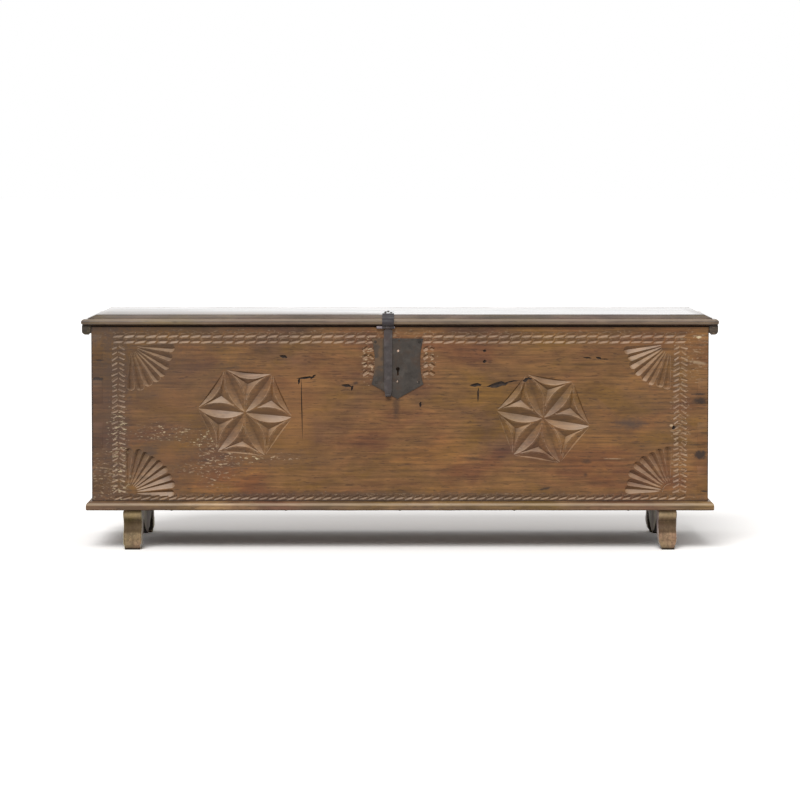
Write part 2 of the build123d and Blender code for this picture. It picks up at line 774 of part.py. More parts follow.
# Hasp pin: a loose bar with a thick butt that stands out on the left
with BuildPart() as hasp_pin:
    add(round_bar(strap_left - hasp_pin_butt, hasp_pin_butt + strap_width + 2, hasp_pin_radius))
    add(round_bar(strap_left - hasp_pin_butt, hasp_pin_butt - joint_gap, hasp_pin_butt_radius))
    butt_rims = hasp_pin.edges().filter_by(GeomType.CIRCLE).group_by(Axis.X)[0]
    chamfer(butt_rims.sort_by(SortBy.RADIUS)[-1], length=0.8)
    add(round_bar(strap_left + strap_width + joint_gap, 2, hasp_pin_radius + 1.2))
hasp_pin.part.label = "hasp_pin"
export_step(hasp_pin.part, "parts/hasp_pin.step")

# Hasp: an eye on the pin, a long bar and a finger curled forward at the end
z_hasp_end = z_pin - hasp_length
y_hasp_back = y_front - plate_thickness - hang_gap
y_hasp_line = y_hasp_back - hasp_thickness / 2
shoulder_z = z_pin - hasp_eye_radius - hang_gap
with BuildPart() as hasp:
    with BuildSketch(Plane.YZ.offset(hasp_x - hasp_width / 2)):
        with BuildLine():
            FilletPolyline(
                (y_hasp_line, z_pin),
                (y_hasp_line, z_hasp_end + hasp_thickness / 2),
                (y_hasp_line - hasp_end_reach, z_hasp_end + 1.2 * hasp_end_reach),
                radius=5,
            )
        trace(line_width=hasp_thickness)
    extrude(amount=hasp_width)
    with BuildSketch(front_plane):
        with BuildLine():
            Polyline(
                (hasp_x - hasp_eye_width / 2, z_pin + hasp_eye_radius),
                (hasp_x - hasp_eye_width / 2, shoulder_z),
                (hasp_x - hasp_width / 2, shoulder_z - 3),
                (hasp_x - hasp_width / 2 + 1, z_hasp_end + 22),
                (hasp_x - hasp_finger_width / 2, z_hasp_end + 12),
                (hasp_x - hasp_finger_width / 2, z_hasp_end - 3),
                (hasp_x, z_hasp_end - 3),
                (hasp_x, z_pin + hasp_eye_radius),
                close=True,
            )
        make_face()
        mirror(about=Plane.YZ.offset(hasp_x))
    extrude(amount=3 * (hasp_thickness + hasp_end_reach), mode=Mode.INTERSECT)
    eye_left = hasp_x - hasp_eye_width / 2
    add(round_bar(eye_left, hasp_eye_width, hasp_eye_radius))
    add(round_bar(eye_left - 1, hasp_eye_width + 2, pin_bore), mode=Mode.SUBTRACT)
hasp.part.label = "hasp"
export_step(hasp.part, "parts/hasp.step")

# Staple on the hasp's back, which the bolt passes through
with BuildPart() as hasp_staple:
    with BuildSketch(Plane.YZ.offset(hasp_x - staple_thickness / 2)):
        y_bow = y_front + staple_depth
        staple_height = staple_opening + 2 * staple_bar
        with Locations((y_hasp_back, bolt_z)):
            Rectangle(y_bow - y_hasp_back, staple_height, align=(Align.MIN, Align.CENTER))
        fillet(vertices().group_by(Axis.X)[-1], radius=staple_bar)
        with Locations((y_hasp_back, bolt_z)):
            Rectangle(
                y_bow - staple_bar - y_hasp_back,
                staple_opening,
                align=(Align.MIN, Align.CENTER),
                mode=Mode.SUBTRACT,
            )
    extrude(amount=staple_thickness)
hasp_staple.part.label = "hasp_staple"
export_step(hasp_staple.part, "parts/hasp_staple.step")
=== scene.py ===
"""Finishes, carving, wear and setting of a carved blanket chest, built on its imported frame.

Sizes are in metres. X runs along the chest, its front faces -Y and Z is up from the floor.
Colours are written as hexadecimal sRGB.
"""

import json
import logging
import math
import random
from collections.abc import Callable, Iterator, Sequence
from contextlib import contextmanager
from dataclasses import dataclass, field
from enum import Enum
from functools import cached_property, reduce

import bmesh
import bpy
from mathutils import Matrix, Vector

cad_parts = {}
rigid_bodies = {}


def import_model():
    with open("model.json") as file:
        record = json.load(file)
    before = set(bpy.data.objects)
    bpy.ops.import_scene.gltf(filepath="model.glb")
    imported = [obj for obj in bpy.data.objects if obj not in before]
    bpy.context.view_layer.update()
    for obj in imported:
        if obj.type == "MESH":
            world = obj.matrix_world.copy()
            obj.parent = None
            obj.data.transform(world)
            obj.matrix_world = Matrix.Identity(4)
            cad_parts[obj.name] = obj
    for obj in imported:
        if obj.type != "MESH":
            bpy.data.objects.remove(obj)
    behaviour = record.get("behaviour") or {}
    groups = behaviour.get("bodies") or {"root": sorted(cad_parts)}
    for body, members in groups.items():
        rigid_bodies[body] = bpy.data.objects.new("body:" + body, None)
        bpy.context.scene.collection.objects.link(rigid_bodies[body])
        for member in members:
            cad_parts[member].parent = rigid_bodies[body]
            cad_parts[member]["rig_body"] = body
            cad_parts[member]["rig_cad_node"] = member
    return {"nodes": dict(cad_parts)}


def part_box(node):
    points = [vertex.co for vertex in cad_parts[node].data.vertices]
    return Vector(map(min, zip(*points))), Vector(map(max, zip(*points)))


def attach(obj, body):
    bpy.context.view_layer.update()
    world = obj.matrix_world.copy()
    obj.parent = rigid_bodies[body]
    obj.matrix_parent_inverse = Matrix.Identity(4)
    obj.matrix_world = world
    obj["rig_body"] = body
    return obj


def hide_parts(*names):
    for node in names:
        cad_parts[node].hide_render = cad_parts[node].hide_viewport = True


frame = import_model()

log = logging.getLogger("blanket_chest")

Piece = bpy.types.Object
Coat = bpy.types.Material
Face = bpy.types.MeshPolygon
Socket = bpy.types.NodeSocket
Value = float | Socket
Colour = str | Socket

MERGE = 0.00001  # distance under which two vertices are one
FLATTEN = 1000.0  # stretch that makes a mask ignore depth
DRAWN = 0.055  # scale along the grain that draws fibres and rings out


class Side(Enum):
    """Ends of the chest as seen from the front."""

    LEFT = "left"
    RIGHT = "right"


class Grain(Enum):
    """Direction of the wood's fibres, as the turn that brings it onto X."""

    ALONG = (0.0, 0.0, 0.0)
    DEEP = (0.0, 0.0, -math.pi / 2)
    UPRIGHT = (0.0, math.pi / 2, 0.0)


class Slot(Enum):
    """Material slots of the record."""

    CARCASE = "carcase_wood"
    LID = "lid_wood"
    EDGE = "edge_wood"
    FOOT = "foot_wood"
    IRON = "forged_iron"


class Stain(Enum):
    """What a mark does to the colour of the board."""

    DARK = "2A1D15"
    SMOKE = "4A3A31"
    WARM = "94643A"
    PALE = "BFA585"
    CREAM = "DCC8A0"


@dataclass(frozen=True)
class Cells:
    """A noise. Its scale is in cells per metre, and its stretch shrinks the coordinate along X."""

    scale: float
    detail: float
    rough: float
    warp: float = 0.0
    stretch: float = 1.0
    shift: tuple[float, float, float] = (0.0, 0.0, 0.0)


class Figure(Enum):
    """The wood's unevenness, from broad patches to pores."""

    BLOTCH = Cells(7.0, 5.0, 0.6, 0.5, 0.5)
    HUE = Cells(9.0, 5.0, 0.6, 0.5, 0.45, (3.1, 1.7, 0.4))
    STREAK = Cells(26.0, 5.0, 0.6, 1.0, 0.13)
    MOTTLE = Cells(34.0, 4.0, 0.6, 0.3, 0.45)
    STRAND = Cells(85.0, 4.0, 0.6, 0.8, 0.13)
    SPECK = Cells(120.0, 4.0, 0.7)
    FIBRE = Cells(190.0, 4.0, 0.65, 0.4, DRAWN)
    CRUMB = Cells(300.0, 3.0, 0.6, 0.0, 0.32)
    PORES = Cells(330.0, 2.0, 0.5, 0.0, 0.14)


class Forging(Enum):
    """The iron's unevenness."""

    HAMMER = Cells(70.0, 2.0, 0.4)
    CLOUD = Cells(28.0, 5.0, 0.62)
    PITS = Cells(420.0, 3.0, 0.6)


@dataclass(frozen=True)
class Level:
    """A strip of colour between two heights, on the part of a piece that lies before a depth; most strips
    paint light or shade onto the piece.
    """

    low: float
    high: float
    code: str
    share: float
    before: float = 1.0
    soft: float = 0.0008
    fade: float = 0.004


@dataclass(frozen=True)
class Mark:
    """A stain, knot or rubbed place on the front, as a soft ellipse."""

    x: float
    z: float
    half_length: float
    half_height: float
    stain: Stain
    strength: float
    soft: float = 0.35
    turn: float = 0.0


def tint(code: str) -> tuple[float, float, float]:
    """Turns a hexadecimal sRGB colour into linear light.

    Args:
        code: six hexadecimal digits.

    Returns:
        The red, green and blue parts, each from 0 to 1.
    """
    parts = [int(code[i : i + 2], 16) / 255 for i in (0, 2, 4)]
    return tuple(p / 12.92 if p <= 0.04045 else ((p + 0.055) / 1.055) ** 2.4 for p in parts)


class Graph:
    """Adds and links the shader nodes of one material or world."""

    def __init__(self, owner: Coat | bpy.types.World) -> None:
        """Empties the owner's node tree.

        Args:
            owner: the material or world.
        """
        owner.use_nodes = True
        self.owner = owner
        self.tree = owner.node_tree
        self.tree.nodes.clear()

    @cached_property
    def place(self) -> Socket:
        """Gives the place in the chest."""
        return self.add("TexCoord").outputs["Object"]

    def add(self, kind: str, fed: dict | None = None, **settings: object) -> bpy.types.Node:
        """Adds a node, sets its properties and feeds its inputs.

        Args:
            kind: the node's type, without its first word.
            fed: the inputs, by name or number, and what feeds them.
            settings: property names and their values.

        Returns:
            The new node.
        """
        node = self.tree.nodes.new("ShaderNode" + kind)
        for key, value in settings.items():
            setattr(node, key, value)
        for key, value in (fed or {}).items():
            self.feed(node.inputs[key], value)
        return node

    def feed(self, socket: Socket, value: object) -> None:
        """Links a socket, or sets its constant.

        Args:
            socket: the input to feed.
            value: another node's output, a number, some numbers or a colour.
        """
        if isinstance(value, Socket):
            self.tree.links.new(value, socket)
            return
        if isinstance(value, str):
            value = tint(value)
        if isinstance(value, tuple) and len(socket.default_value) == 4:
            value = (*value, 1.0)
        socket.default_value = value

    def maths(self, operation: str, a: Value, b: Value) -> Socket:
        """Combines two numbers."""
        return self.add("Math", {0: a, 1: b}, operation=operation).outputs[0]

    def times(self, *factors: Value) -> Socket:
        """Multiplies numbers."""
        return reduce(lambda a, b: self.maths("MULTIPLY", a, b), factors)

    def span(
        self, value: Value, low: float, high: float, at_low: float = 0.0, at_high: float = 1.0
    ) -> Socket:
        """Maps a number smoothly from the range low to high onto the range at_low to at_high."""
        fed = dict(enumerate((value, low, high, at_low, at_high)))
        return self.add("MapRange", fed, interpolation_type="SMOOTHSTEP").outputs[0]

    def split(self, vector: Socket) -> Sequence[Socket]:
        """Gives a vector's X, Y and Z."""
        return self.add("SeparateXYZ", {0: vector}).outputs

    def moved(self, vector: Socket, kind: str = "POINT", **parts: tuple[float, float, float]) -> Socket:
        """Moves, turns and scales a coordinate.

        Args:
            vector: the coordinate.
            kind: the Mapping node's vector type.
            parts: its Location in metres, its Rotation in radians and its Scale.

        Returns:
            The new coordinate.
        """
        return self.add("Mapping", {"Vector": vector, **parts}, vector_type=kind).outputs[0]

    def noise(self, cells: Cells, vector: Socket) -> Socket:
        """Adds a noise, mostly between 0.3 and 0.7.

        Args:
            cells: its size and character.
            vector: the coordinate that it is read at.

        Returns:
            The noise.
        """
        drawn = self.moved(vector, Location=cells.shift, Scale=(cells.stretch, 1.0, 1.0))
        fed = {"Vector": drawn, "Scale": cells.scale, "Detail": cells.detail}
        return self.add("TexNoise", {**fed, "Roughness": cells.rough, "Distortion": cells.warp}).outputs[0]

    def rings(self, vector: Socket, pitch: float, warp: float) -> Socket:
        """Adds growth rings about the X axis.

        Args:
            vector: the coordinate, with the pith on its X axis.
            pitch: distance from one ring to the next, in metres.
            warp: how far the rings wander.

        Returns:
            The ring pattern, from 0 to 1.
        """
        fed = {"Vector": vector, "Scale": math.tau / (20 * pitch), "Distortion": warp}
        fine = {"Detail": 3.0, "Detail Scale": 1.4, "Detail Roughness": 0.6}
        settings = {"wave_type": "RINGS", "rings_direction": "X", "wave_profile": "SIN"}
        return self.add("TexWave", {**fed, **fine}, **settings).outputs[1]

    def mix(self, share: Value, a: Colour, b: Colour, blend: str = "MIX") -> Socket:
        """Mixes a share of colour b into colour a."""
        return self.add("Mix", {0: share, 6: a, 7: b}, data_type="RGBA", blend_type=blend).outputs[2]

    def ramp(self, value: Value, *stops: tuple[float, str]) -> Socket:
        """Turns a number into a colour.

        Args:
            value: the number.
            stops: places and their colours.

        Returns:
            The colour.
        """
        node = self.add("ValToRGB", {0: value})
        steps = node.color_ramp.elements
        while len(steps) < len(stops):
            steps.new(1.0)
        for step, (place, code) in zip(steps, stops):
            step.position = place
            step.color = (*tint(code), 1.0)
        return node.outputs[0]

    def strip(self, level: Level) -> Socket:
        """Gives the mask of a strip between two heights.

        Args:
            level: the strip.

        Returns:
            The mask, the strip's share inside it.
        """
        _, y, z = self.split(self.place)
        above = self.span(z, level.low - level.soft, level.low + level.soft, 0.0, level.share)
        below = self.span(z, level.high + level.soft, level.high - level.soft)
        return self.times(above, below, self.span(y, level.before + level.fade, level.before))

    def patch(self, mark: Mark, ragged: Socket) -> Socket:
        """Gives the mask of one elliptical mark on the front.

        Args:
            mark: the mark's place and size.
            ragged: noise that breaks its outline.

        Returns:
            The mask, the mark's strength inside it.
        """
        size = (mark.half_length, FLATTEN, mark.half_height)
        turn = (0.0, -mark.turn, 0.0)
        local = self.moved(self.place, "TEXTURE", Location=(mark.x, 0.0, mark.z), Rotation=turn, Scale=size)
        length = self.add("VectorMath", {0: local}, operation="LENGTH").outputs["Value"]
        edge = self.maths("ADD", length, ragged)
        return self.span(edge, 1.0 + mark.soft, 1.0 - mark.soft, 0.0, mark.strength)

    def seen(self) -> Socket:
        """Gives 1 where the camera or a gloss looks, and 0 where light is gathered."""
        path = self.add("LightPath").outputs
        return self.maths("MAXIMUM", path["Is Camera Ray"], path["Is Glossy Ray"])

    def surface(
        self, colour: Colour, rough: Value, height: Socket, relief: float, **constants: float
    ) -> Coat:
        """Closes the material with its shader.

        Args:
            colour: base colour.
            rough: roughness.
            height: bump height from 0 to 1.
            relief: the bump's depth in metres.
            constants: the shader's socket names, with underscores for spaces, and their values.

        Returns:
            The finished material.
        """
        bump = self.add("Bump", {"Strength": 1.0, "Distance": relief, "Height": height}).outputs[0]
        fed = {key.replace("_", " "): value for key, value in constants.items()}
        shader = self.add("BsdfPrincipled", {"Base Color": colour, "Roughness": rough, "Normal": bump, **fed})
        self.add("OutputMaterial", {"Surface": shader.outputs[0]})
        return self.owner


@dataclass(frozen=True)
class WoodFinish:
    """Waxed old wood: growth rings, fibres, pores, patina and marks, with painted light and shade in strips
    and on carved facets.
    """

    name: str
    deep: str
    dull: str
    body: str
    warm: str
    grain: Grain = Grain.ALONG
    pith: tuple[float, float, float] = (0.0, 0.31, -0.08)
    ring_pitch: float = 0.011
    ring_warp: float = 5.0
    ring_share: float = 0.18
    contrast: float = 1.0
    roughness: float = 0.5
    sheen: float = 0.35
    polish: float = 0.0
    polish_roughness: float = 0.12
    relief: float = 0.0004
    levels: tuple[Level, ...] = ()
    marks: tuple[Mark, ...] = ()
    flecks: tuple[Mark, ...] = ()
    cut_from: float | None = None

    def build(self) -> Coat:
        """Builds the material, read at the wood's place in the chest.

        Returns:
            The material.
        """
        g = Graph(bpy.data.materials.new(self.name))
        turned = g.moved(g.place, Rotation=self.grain.value)
        figure = {part: g.noise(part.value, turned) for part in Figure}
        drawn = g.moved(turned, Location=self.pith, Scale=(DRAWN, 1.0, 1.0))
        pores = g.span(figure[Figure.PORES], 0.60, 0.70, 0.0, 0.6)
        colour = self.ground(g, figure, g.rings(drawn, self.ring_pitch, self.ring_warp))
        colour = self.marked(g, figure, g.mix(pores, colour, self.deep))
        rough = g.span(figure[Figure.BLOTCH], 0.35, 0.65, self.roughness + 0.07, self.roughness - 0.07)
        if self.cut_from is not None:
            depth = g.maths("SUBTRACT", g.split(g.place)[1], self.cut_from)
            cut = g.span(depth, 0.00002, 0.00030)
            colour = self.carved(g, figure, colour, depth, cut)
            rough = g.maths("SUBTRACT", rough, g.times(cut, 0.06))
        for level in self.levels:
            colour = g.mix(g.strip(level), colour, level.code)
        height = g.maths("ADD", g.times(figure[Figure.FIBRE], 0.6), g.times(figure[Figure.STRAND], 0.8))
        height = g.maths("SUBTRACT", height, g.times(pores, 0.5))
        gloss = {"Coat_Weight": self.polish, "Coat_Roughness": self.polish_roughness}
        return g.surface(colour, rough, height, self.relief, Specular_IOR_Level=self.sheen, **gloss)

    def ground(self, g: Graph, figure: dict[Figure, Socket], rings: Socket) -> Socket:
        """Colours the plain wood.

        Args:
            g: the material's nodes.
            figure: the wood's noises.
            rings: its growth rings.

        Returns:
            The colour.
        """
        base = ((0.34, self.dull), (0.47, self.body), (0.55, self.body), (0.66, self.warm))
        hues = ((0.36, "E6D2DC"), (0.46, "FFFAFA"), (0.53, "FBFBF4"), (0.62, "F0F0C2"))
        colour = g.ramp(figure[Figure.BLOTCH], *base)
        colour = g.mix(self.contrast, colour, g.ramp(figure[Figure.HUE], *hues), "MULTIPLY")
        for lines, low, high, share in (
            (rings, 0.35, 0.95, self.ring_share),
            (figure[Figure.STREAK], 0.52, 0.74, 0.14 * self.contrast),
            (figure[Figure.STRAND], 0.54, 0.74, 0.16 * self.contrast),
        ):
            colour = g.mix(g.span(lines, low, high, 0.0, share), colour, self.deep)
        for part, share, shades in (
            (Figure.STRAND, 0.55 * self.contrast, ((0.32, "F8F8F8"), (0.50, "EAEAEA"), (0.70, "DADADA"))),
            (Figure.MOTTLE, 0.9 * self.contrast, ((0.34, "CFCBCB"), (0.50, "EAEAEA"), (0.64, "FFFFFF"))),
            (Figure.FIBRE, 0.9, ((0.32, "BEBEBE"), (0.50, "E6E6E6"), (0.66, "FFFFFF"))),
        ):
            colour = g.mix(share, colour, g.ramp(figure[part], *shades), "MULTIPLY")
        return colour

    def marked(self, g: Graph, figure: dict[Figure, Socket], colour: Socket) -> Socket:
        """Lays the marks and flecks over the wood.

        Args:
            g: the material's nodes.
            figure: the wood's noises.
            colour: the plain wood's colour.

        Returns:
            The marked colour.
        """
        uneven, ragged = (g.span(figure[Figure.SPECK], 0.25, 0.75, -by, by) for by in (0.35, 0.8))
        for mark in self.marks:
            colour = g.mix(g.patch(mark, uneven), colour, mark.stain.value)
        crumbs = g.span(figure[Figure.CRUMB], 0.56, 0.64)
        for fleck in self.flecks:
            colour = g.mix(g.times(g.patch(fleck, ragged), crumbs), colour, fleck.stain.value)
        return colour

    def carved(
        self, g: Graph, figure: dict[Figure, Socket], colour: Socket, depth: Socket, cut: Socket
    ) -> Socket:
        """Rubs the cuts pale at their rims, paints light on the facets that look up and shade on those that
        look down, and paints shade into their deepest valleys.

        Args:
            g: the material's nodes.
            figure: the wood's noises.
            colour: the board's colour.
            depth: distance behind the board's face.
            cut: 1 inside the cuts, 0 outside.

        Returns:
            The carved board's colour.
        """
        up = g.split(g.add("TexCoord").outputs["Normal"])[2]
        rim = g.times(g.span(depth, 0.0011, 0.0002, 0.0, 0.40), g.span(figure[Figure.SPECK], 0.38, 0.62), cut)
        # Painted light on facets that look up; the worn mask here only breaks it into uneven patches
        worn = g.span(figure[Figure.MOTTLE], 0.36, 0.58, 0.55, 1.1)
        lit = g.times(g.span(up, 0.05, 0.45, 0.0, 0.28), worn, cut)
        # Painted shade on facets that look down
        shade = g.times(g.span(up, -0.03, -0.40, 0.0, 0.30), cut)
        # Painted shade in the deepest part of each cut
        valley = g.span(depth, 0.0028, 0.0062, 0.0, 0.30)
        for mask, code in (
            (g.times(cut, 0.05), "AD8E70"),
            (rim, "C0A285"),
            (lit, "C8AA8C"),
            (shade, self.deep),
            (valley, self.deep),
        ):
            colour = g.mix(mask, colour, code)
        return colour


@dataclass(frozen=True)
class IronFinish:
    """Forged iron: hammered, dark, with brown rust and rubbed grey places."""

    name: str
    dark: str = "2F2A26"
    body: str = "3E3833"
    rust: str = "46382E"
    rubbed: str = "5E574F"
    rubbed_share: float = 0.2
    roughness: float = 0.5
    metal: float = 0.55
    polish: float = 0.0
    relief: float = 0.0006
    polish_roughness: float = 0.1
    brown: str = "5E4935"
    brown_left_of: float | None = None

    def build(self) -> Coat:
        """Builds the material.

        Returns:
            The material.
        """
        g = Graph(bpy.data.materials.new(self.name))
        hammer, cloud, pits = (g.noise(part.value, g.place) for part in Forging)
        colour = g.ramp(cloud, (0.32, self.dark), (0.50, self.body), (0.68, self.rust))
        colour = g.mix(g.span(hammer, 0.5, 0.72, 0.0, self.rubbed_share), colour, self.rubbed)
        colour = g.mix(g.span(pits, 0.58, 0.70, 0.0, 0.5), colour, self.dark)
        if self.brown_left_of is not None:
            x, _, z = g.split(g.place)
            left = g.span(x, self.brown_left_of, self.brown_left_of - 0.008)
            share = g.times(left, g.span(z, 0.405, 0.425), g.span(hammer, 0.36, 0.58, 0.25, 0.9))
            colour = g.mix(share, colour, self.brown)
        height = g.maths("ADD", g.times(hammer, 1.6), g.times(pits, 0.35))
        rough = g.span(cloud, 0.3, 0.7, self.roughness - 0.08, self.roughness + 0.14)
        gloss = {"Coat_Weight": self.polish, "Coat_Roughness": self.polish_roughness}
        return g.surface(colour, rough, height, self.relief, Metallic=self.metal, **gloss)


@dataclass(frozen=True)
class GrimeAndShadeFinish:
    """Old dirt in a broken place, crack or worm hole, and painted shade in the open joint under the lid."""

    name: str
    dark: str = "1B130E"
    edge: str = "3A2A20"
    crumbs: Cells = Cells(260.0, 4.0, 0.7)
    roughness: float = 0.85
    relief: float = 0.0006

    def build(self) -> Coat:
        """Builds the material.

        Returns:
            The material.
        """
        g = Graph(bpy.data.materials.new(self.name))
        crumb = g.noise(self.crumbs, g.place)
        colour = g.ramp(crumb, (0.38, self.dark), (0.66, self.edge))
        return g.surface(colour, self.roughness, crumb, self.relief)


# Painted light and shade on each foot: painted light on the front of the brow, which the bottom board shades;
# a painted shade line and painted shade in the hollow waist; painted shade under the toe; and a painted
# contact shadow along the whole sole.
FOOT_LIGHT_AND_SHADE = (
    Level(0.0730, 0.0930, "CDB48C", 0.3, -0.195, 0.0025),
    Level(0.0660, 0.0705, "2E2418", 0.5, -0.195, 0.0012),
    Level(0.0390, 0.0660, "46341F", 0.75, -0.195, 0.0030),
    Level(0.0035, 0.0110, "5A4835", 0.4, -0.195, 0.0020),
    Level(-0.0010, 0.0045, "15100C", 0.85, 1.0, 0.0012),
)

FRONT_MARKS = (
    Mark(-0.7264, 0.3225, 0.0030, 0.230, Stain.DARK, 0.9, 0.4),
    Mark(0.7266, 0.3225, 0.0022, 0.230, Stain.DARK, 0.75, 0.4),
    Mark(-0.560, 0.330, 0.150, 0.200, Stain.SMOKE, 0.28, 0.9),
    Mark(0.550, 0.310, 0.100, 0.060, Stain.SMOKE, 0.25, 0.9),
    Mark(-0.530, 0.353, 0.055, 0.032, Stain.WARM, 0.25, 0.8),
    Mark(-0.245, 0.300, 0.075, 0.10, Stain.WARM, 0.25, 0.8),
    Mark(-0.480, 0.410, 0.120, 0.050, Stain.SMOKE, 0.20, 0.9),
    Mark(-0.370, 0.320, 0.110, 0.100, Stain.SMOKE, 0.14, 0.9),
    Mark(-0.550, 0.223, 0.022, 0.018, Stain.WARM, 0.4, 0.8),
    Mark(-0.700, 0.300, 0.045, 0.24, Stain.SMOKE, 0.5, 0.9),
    Mark(-0.705, 0.518, 0.060, 0.030, Stain.SMOKE, 0.55, 0.9),
    Mark(0.704, 0.502, 0.0065, 0.0028, Stain.CREAM, 0.85, 0.4),
    Mark(-0.480, 0.523, 0.240, 0.006, Stain.SMOKE, 0.4, 0.7),
    Mark(-0.560, 0.270, 0.070, 0.022, Stain.SMOKE, 0.3, 0.9),
    Mark(-0.592, 0.366, 0.022, 0.010, Stain.SMOKE, 0.35, 0.8),
    Mark(-0.592, 0.233, 0.020, 0.011, Stain.SMOKE, 0.55, 0.7),
    Mark(-0.430, 0.215, 0.060, 0.034, Stain.SMOKE, 0.3, 0.8),
    Mark(-0.300, 0.215, 0.120, 0.020, Stain.SMOKE, 0.35, 0.8),
    Mark(-0.712, 0.404, 0.0150, 0.0034, Stain.DARK, 1.0, 0.3),
    Mark(-0.709, 0.4475, 0.0120, 0.0018, Stain.DARK, 0.8, 0.4),
    Mark(-0.600, 0.450, 0.070, 0.060, Stain.SMOKE, 0.28, 0.9),
    Mark(-0.663, 0.300, 0.022, 0.200, Stain.SMOKE, 0.30, 0.9),
    Mark(-0.600, 0.205, 0.075, 0.055, Stain.SMOKE, 0.28, 0.9),
    Mark(-0.380, 0.505, 0.300, 0.018, Stain.SMOKE, 0.30, 0.9),
    Mark(0.000, 0.124, 0.560, 0.010, Stain.SMOKE, 0.15, 0.9),
    Mark(0.000, 0.1245, 0.640, 0.0105, Stain.SMOKE, 0.50, 0.4),
    Mark(-0.009, 0.340, 0.007, 0.026, Stain.DARK, 0.60, 0.7),
    Mark(-0.104, 0.394, 0.006, 0.004, Stain.DARK, 0.7, 0.6),
    Mark(0.544, 0.298, 0.030, 0.012, Stain.SMOKE, 0.7, 0.8),
    Mark(0.441, 0.207, 0.010, 0.0035, Stain.DARK, 0.6, 0.7),
    Mark(0.438, 0.177, 0.004, 0.0045, Stain.DARK, 0.65, 0.7),
    Mark(0.342, 0.144, 0.013, 0.0026, Stain.DARK, 0.8, 0.5, 0.2),
    Mark(0.170, 0.216, 0.028, 0.0026, Stain.DARK, 0.55, 0.7, -0.1),
    Mark(0.235, 0.219, 0.016, 0.0020, Stain.DARK, 0.55, 0.7),
    Mark(0.505, 0.215, 0.017, 0.0012, Stain.PALE, 0.5, 0.6),
    Mark(0.705, 0.3675, 0.016, 0.0020, Stain.DARK, 0.85, 0.5),
    Mark(0.697, 0.248, 0.028, 0.0016, Stain.DARK, 0.7, 0.5),
    Mark(0.718, 0.138, 0.009, 0.0020, Stain.DARK, 0.9, 0.5),
    Mark(0.706, 0.4415, 0.016, 0.003, Stain.PALE, 0.5, 0.8, -0.2),
    Mark(0.7075, 0.352, 0.014, 0.007, Stain.DARK, 0.90, 0.5),
    Mark(0.709, 0.2245, 0.014, 0.009, Stain.DARK, 0.95, 0.4),
    Mark(0.6395, 0.2935, 0.0035, 0.0022, Stain.PALE, 0.9, 0.4),
)

FRONT_FLECKS = (
    Mark(-0.572, 0.281, 0.045, 0.016, Stain.PALE, 0.55, 0.8),
    Mark(-0.548, 0.276, 0.035, 0.012, Stain.CREAM, 0.60, 0.8),
    Mark(-0.470, 0.262, 0.026, 0.018, Stain.CREAM, 0.90, 0.7),
    Mark(-0.432, 0.205, 0.034, 0.042, Stain.PALE, 0.75, 0.7),
    Mark(-0.355, 0.219, 0.028, 0.010, Stain.CREAM, 0.80, 0.6),
    Mark(-0.280, 0.219, 0.032, 0.008, Stain.PALE, 0.70, 0.6),
    Mark(-0.480, 0.190, 0.030, 0.012, Stain.PALE, 0.50, 0.8),
    Mark(-0.663, 0.235, 0.018, 0.090, Stain.CREAM, 0.65, 0.6),
    Mark(-0.700, 0.170, 0.040, 0.050, Stain.PALE, 0.45, 0.8),
    Mark(-0.075, 0.446, 0.014, 0.042, Stain.PALE, 0.9, 0.3),
    Mark(0.068, 0.446, 0.014, 0.042, Stain.PALE, 0.9, 0.3),
    Mark(0.000, 0.505, 0.640, 0.013, Stain.PALE, 0.30, 0.5),
    Mark(0.000, 0.124, 0.640, 0.008, Stain.PALE, 0.35, 0.6),
    Mark(0.661, 0.300, 0.018, 0.170, Stain.PALE, 0.40, 0.6),
    Mark(0.690, 0.450, 0.025, 0.050, Stain.PALE, 0.40, 0.7),
)

NOSE_MARKS = (
    Mark(-0.748, 0.539, 0.030, 0.013, Stain.DARK, 0.85, 0.8),
    Mark(0.750, 0.540, 0.020, 0.018, Stain.DARK, 0.80, 0.8),
    Mark(-0.600, 0.552, 0.120, 0.006, Stain.SMOKE, 0.45, 0.9),
    Mark(0.560, 0.552, 0.100, 0.006, Stain.SMOKE, 0.45, 0.9),
)

CLEAT_FLECKS = (
    Mark(-0.740, 0.520, 0.02, 0.02, Stain.PALE, 0.35),
    Mark(0.740, 0.520, 0.02, 0.02, Stain.PALE, 0.35),
)

EDGE_MARKS = (
    Mark(-0.680, 0.104, 0.090, 0.020, Stain.SMOKE, 0.42, 0.9),
    Mark(-0.540, 0.104, 0.035, 0.020, Stain.SMOKE, 0.35, 0.9),
    Mark(0.640, 0.104, 0.060, 0.020, Stain.SMOKE, 0.32, 0.9),
    Mark(0.120, 0.100, 0.100, 0.006, Stain.SMOKE, 0.30, 0.9),
)


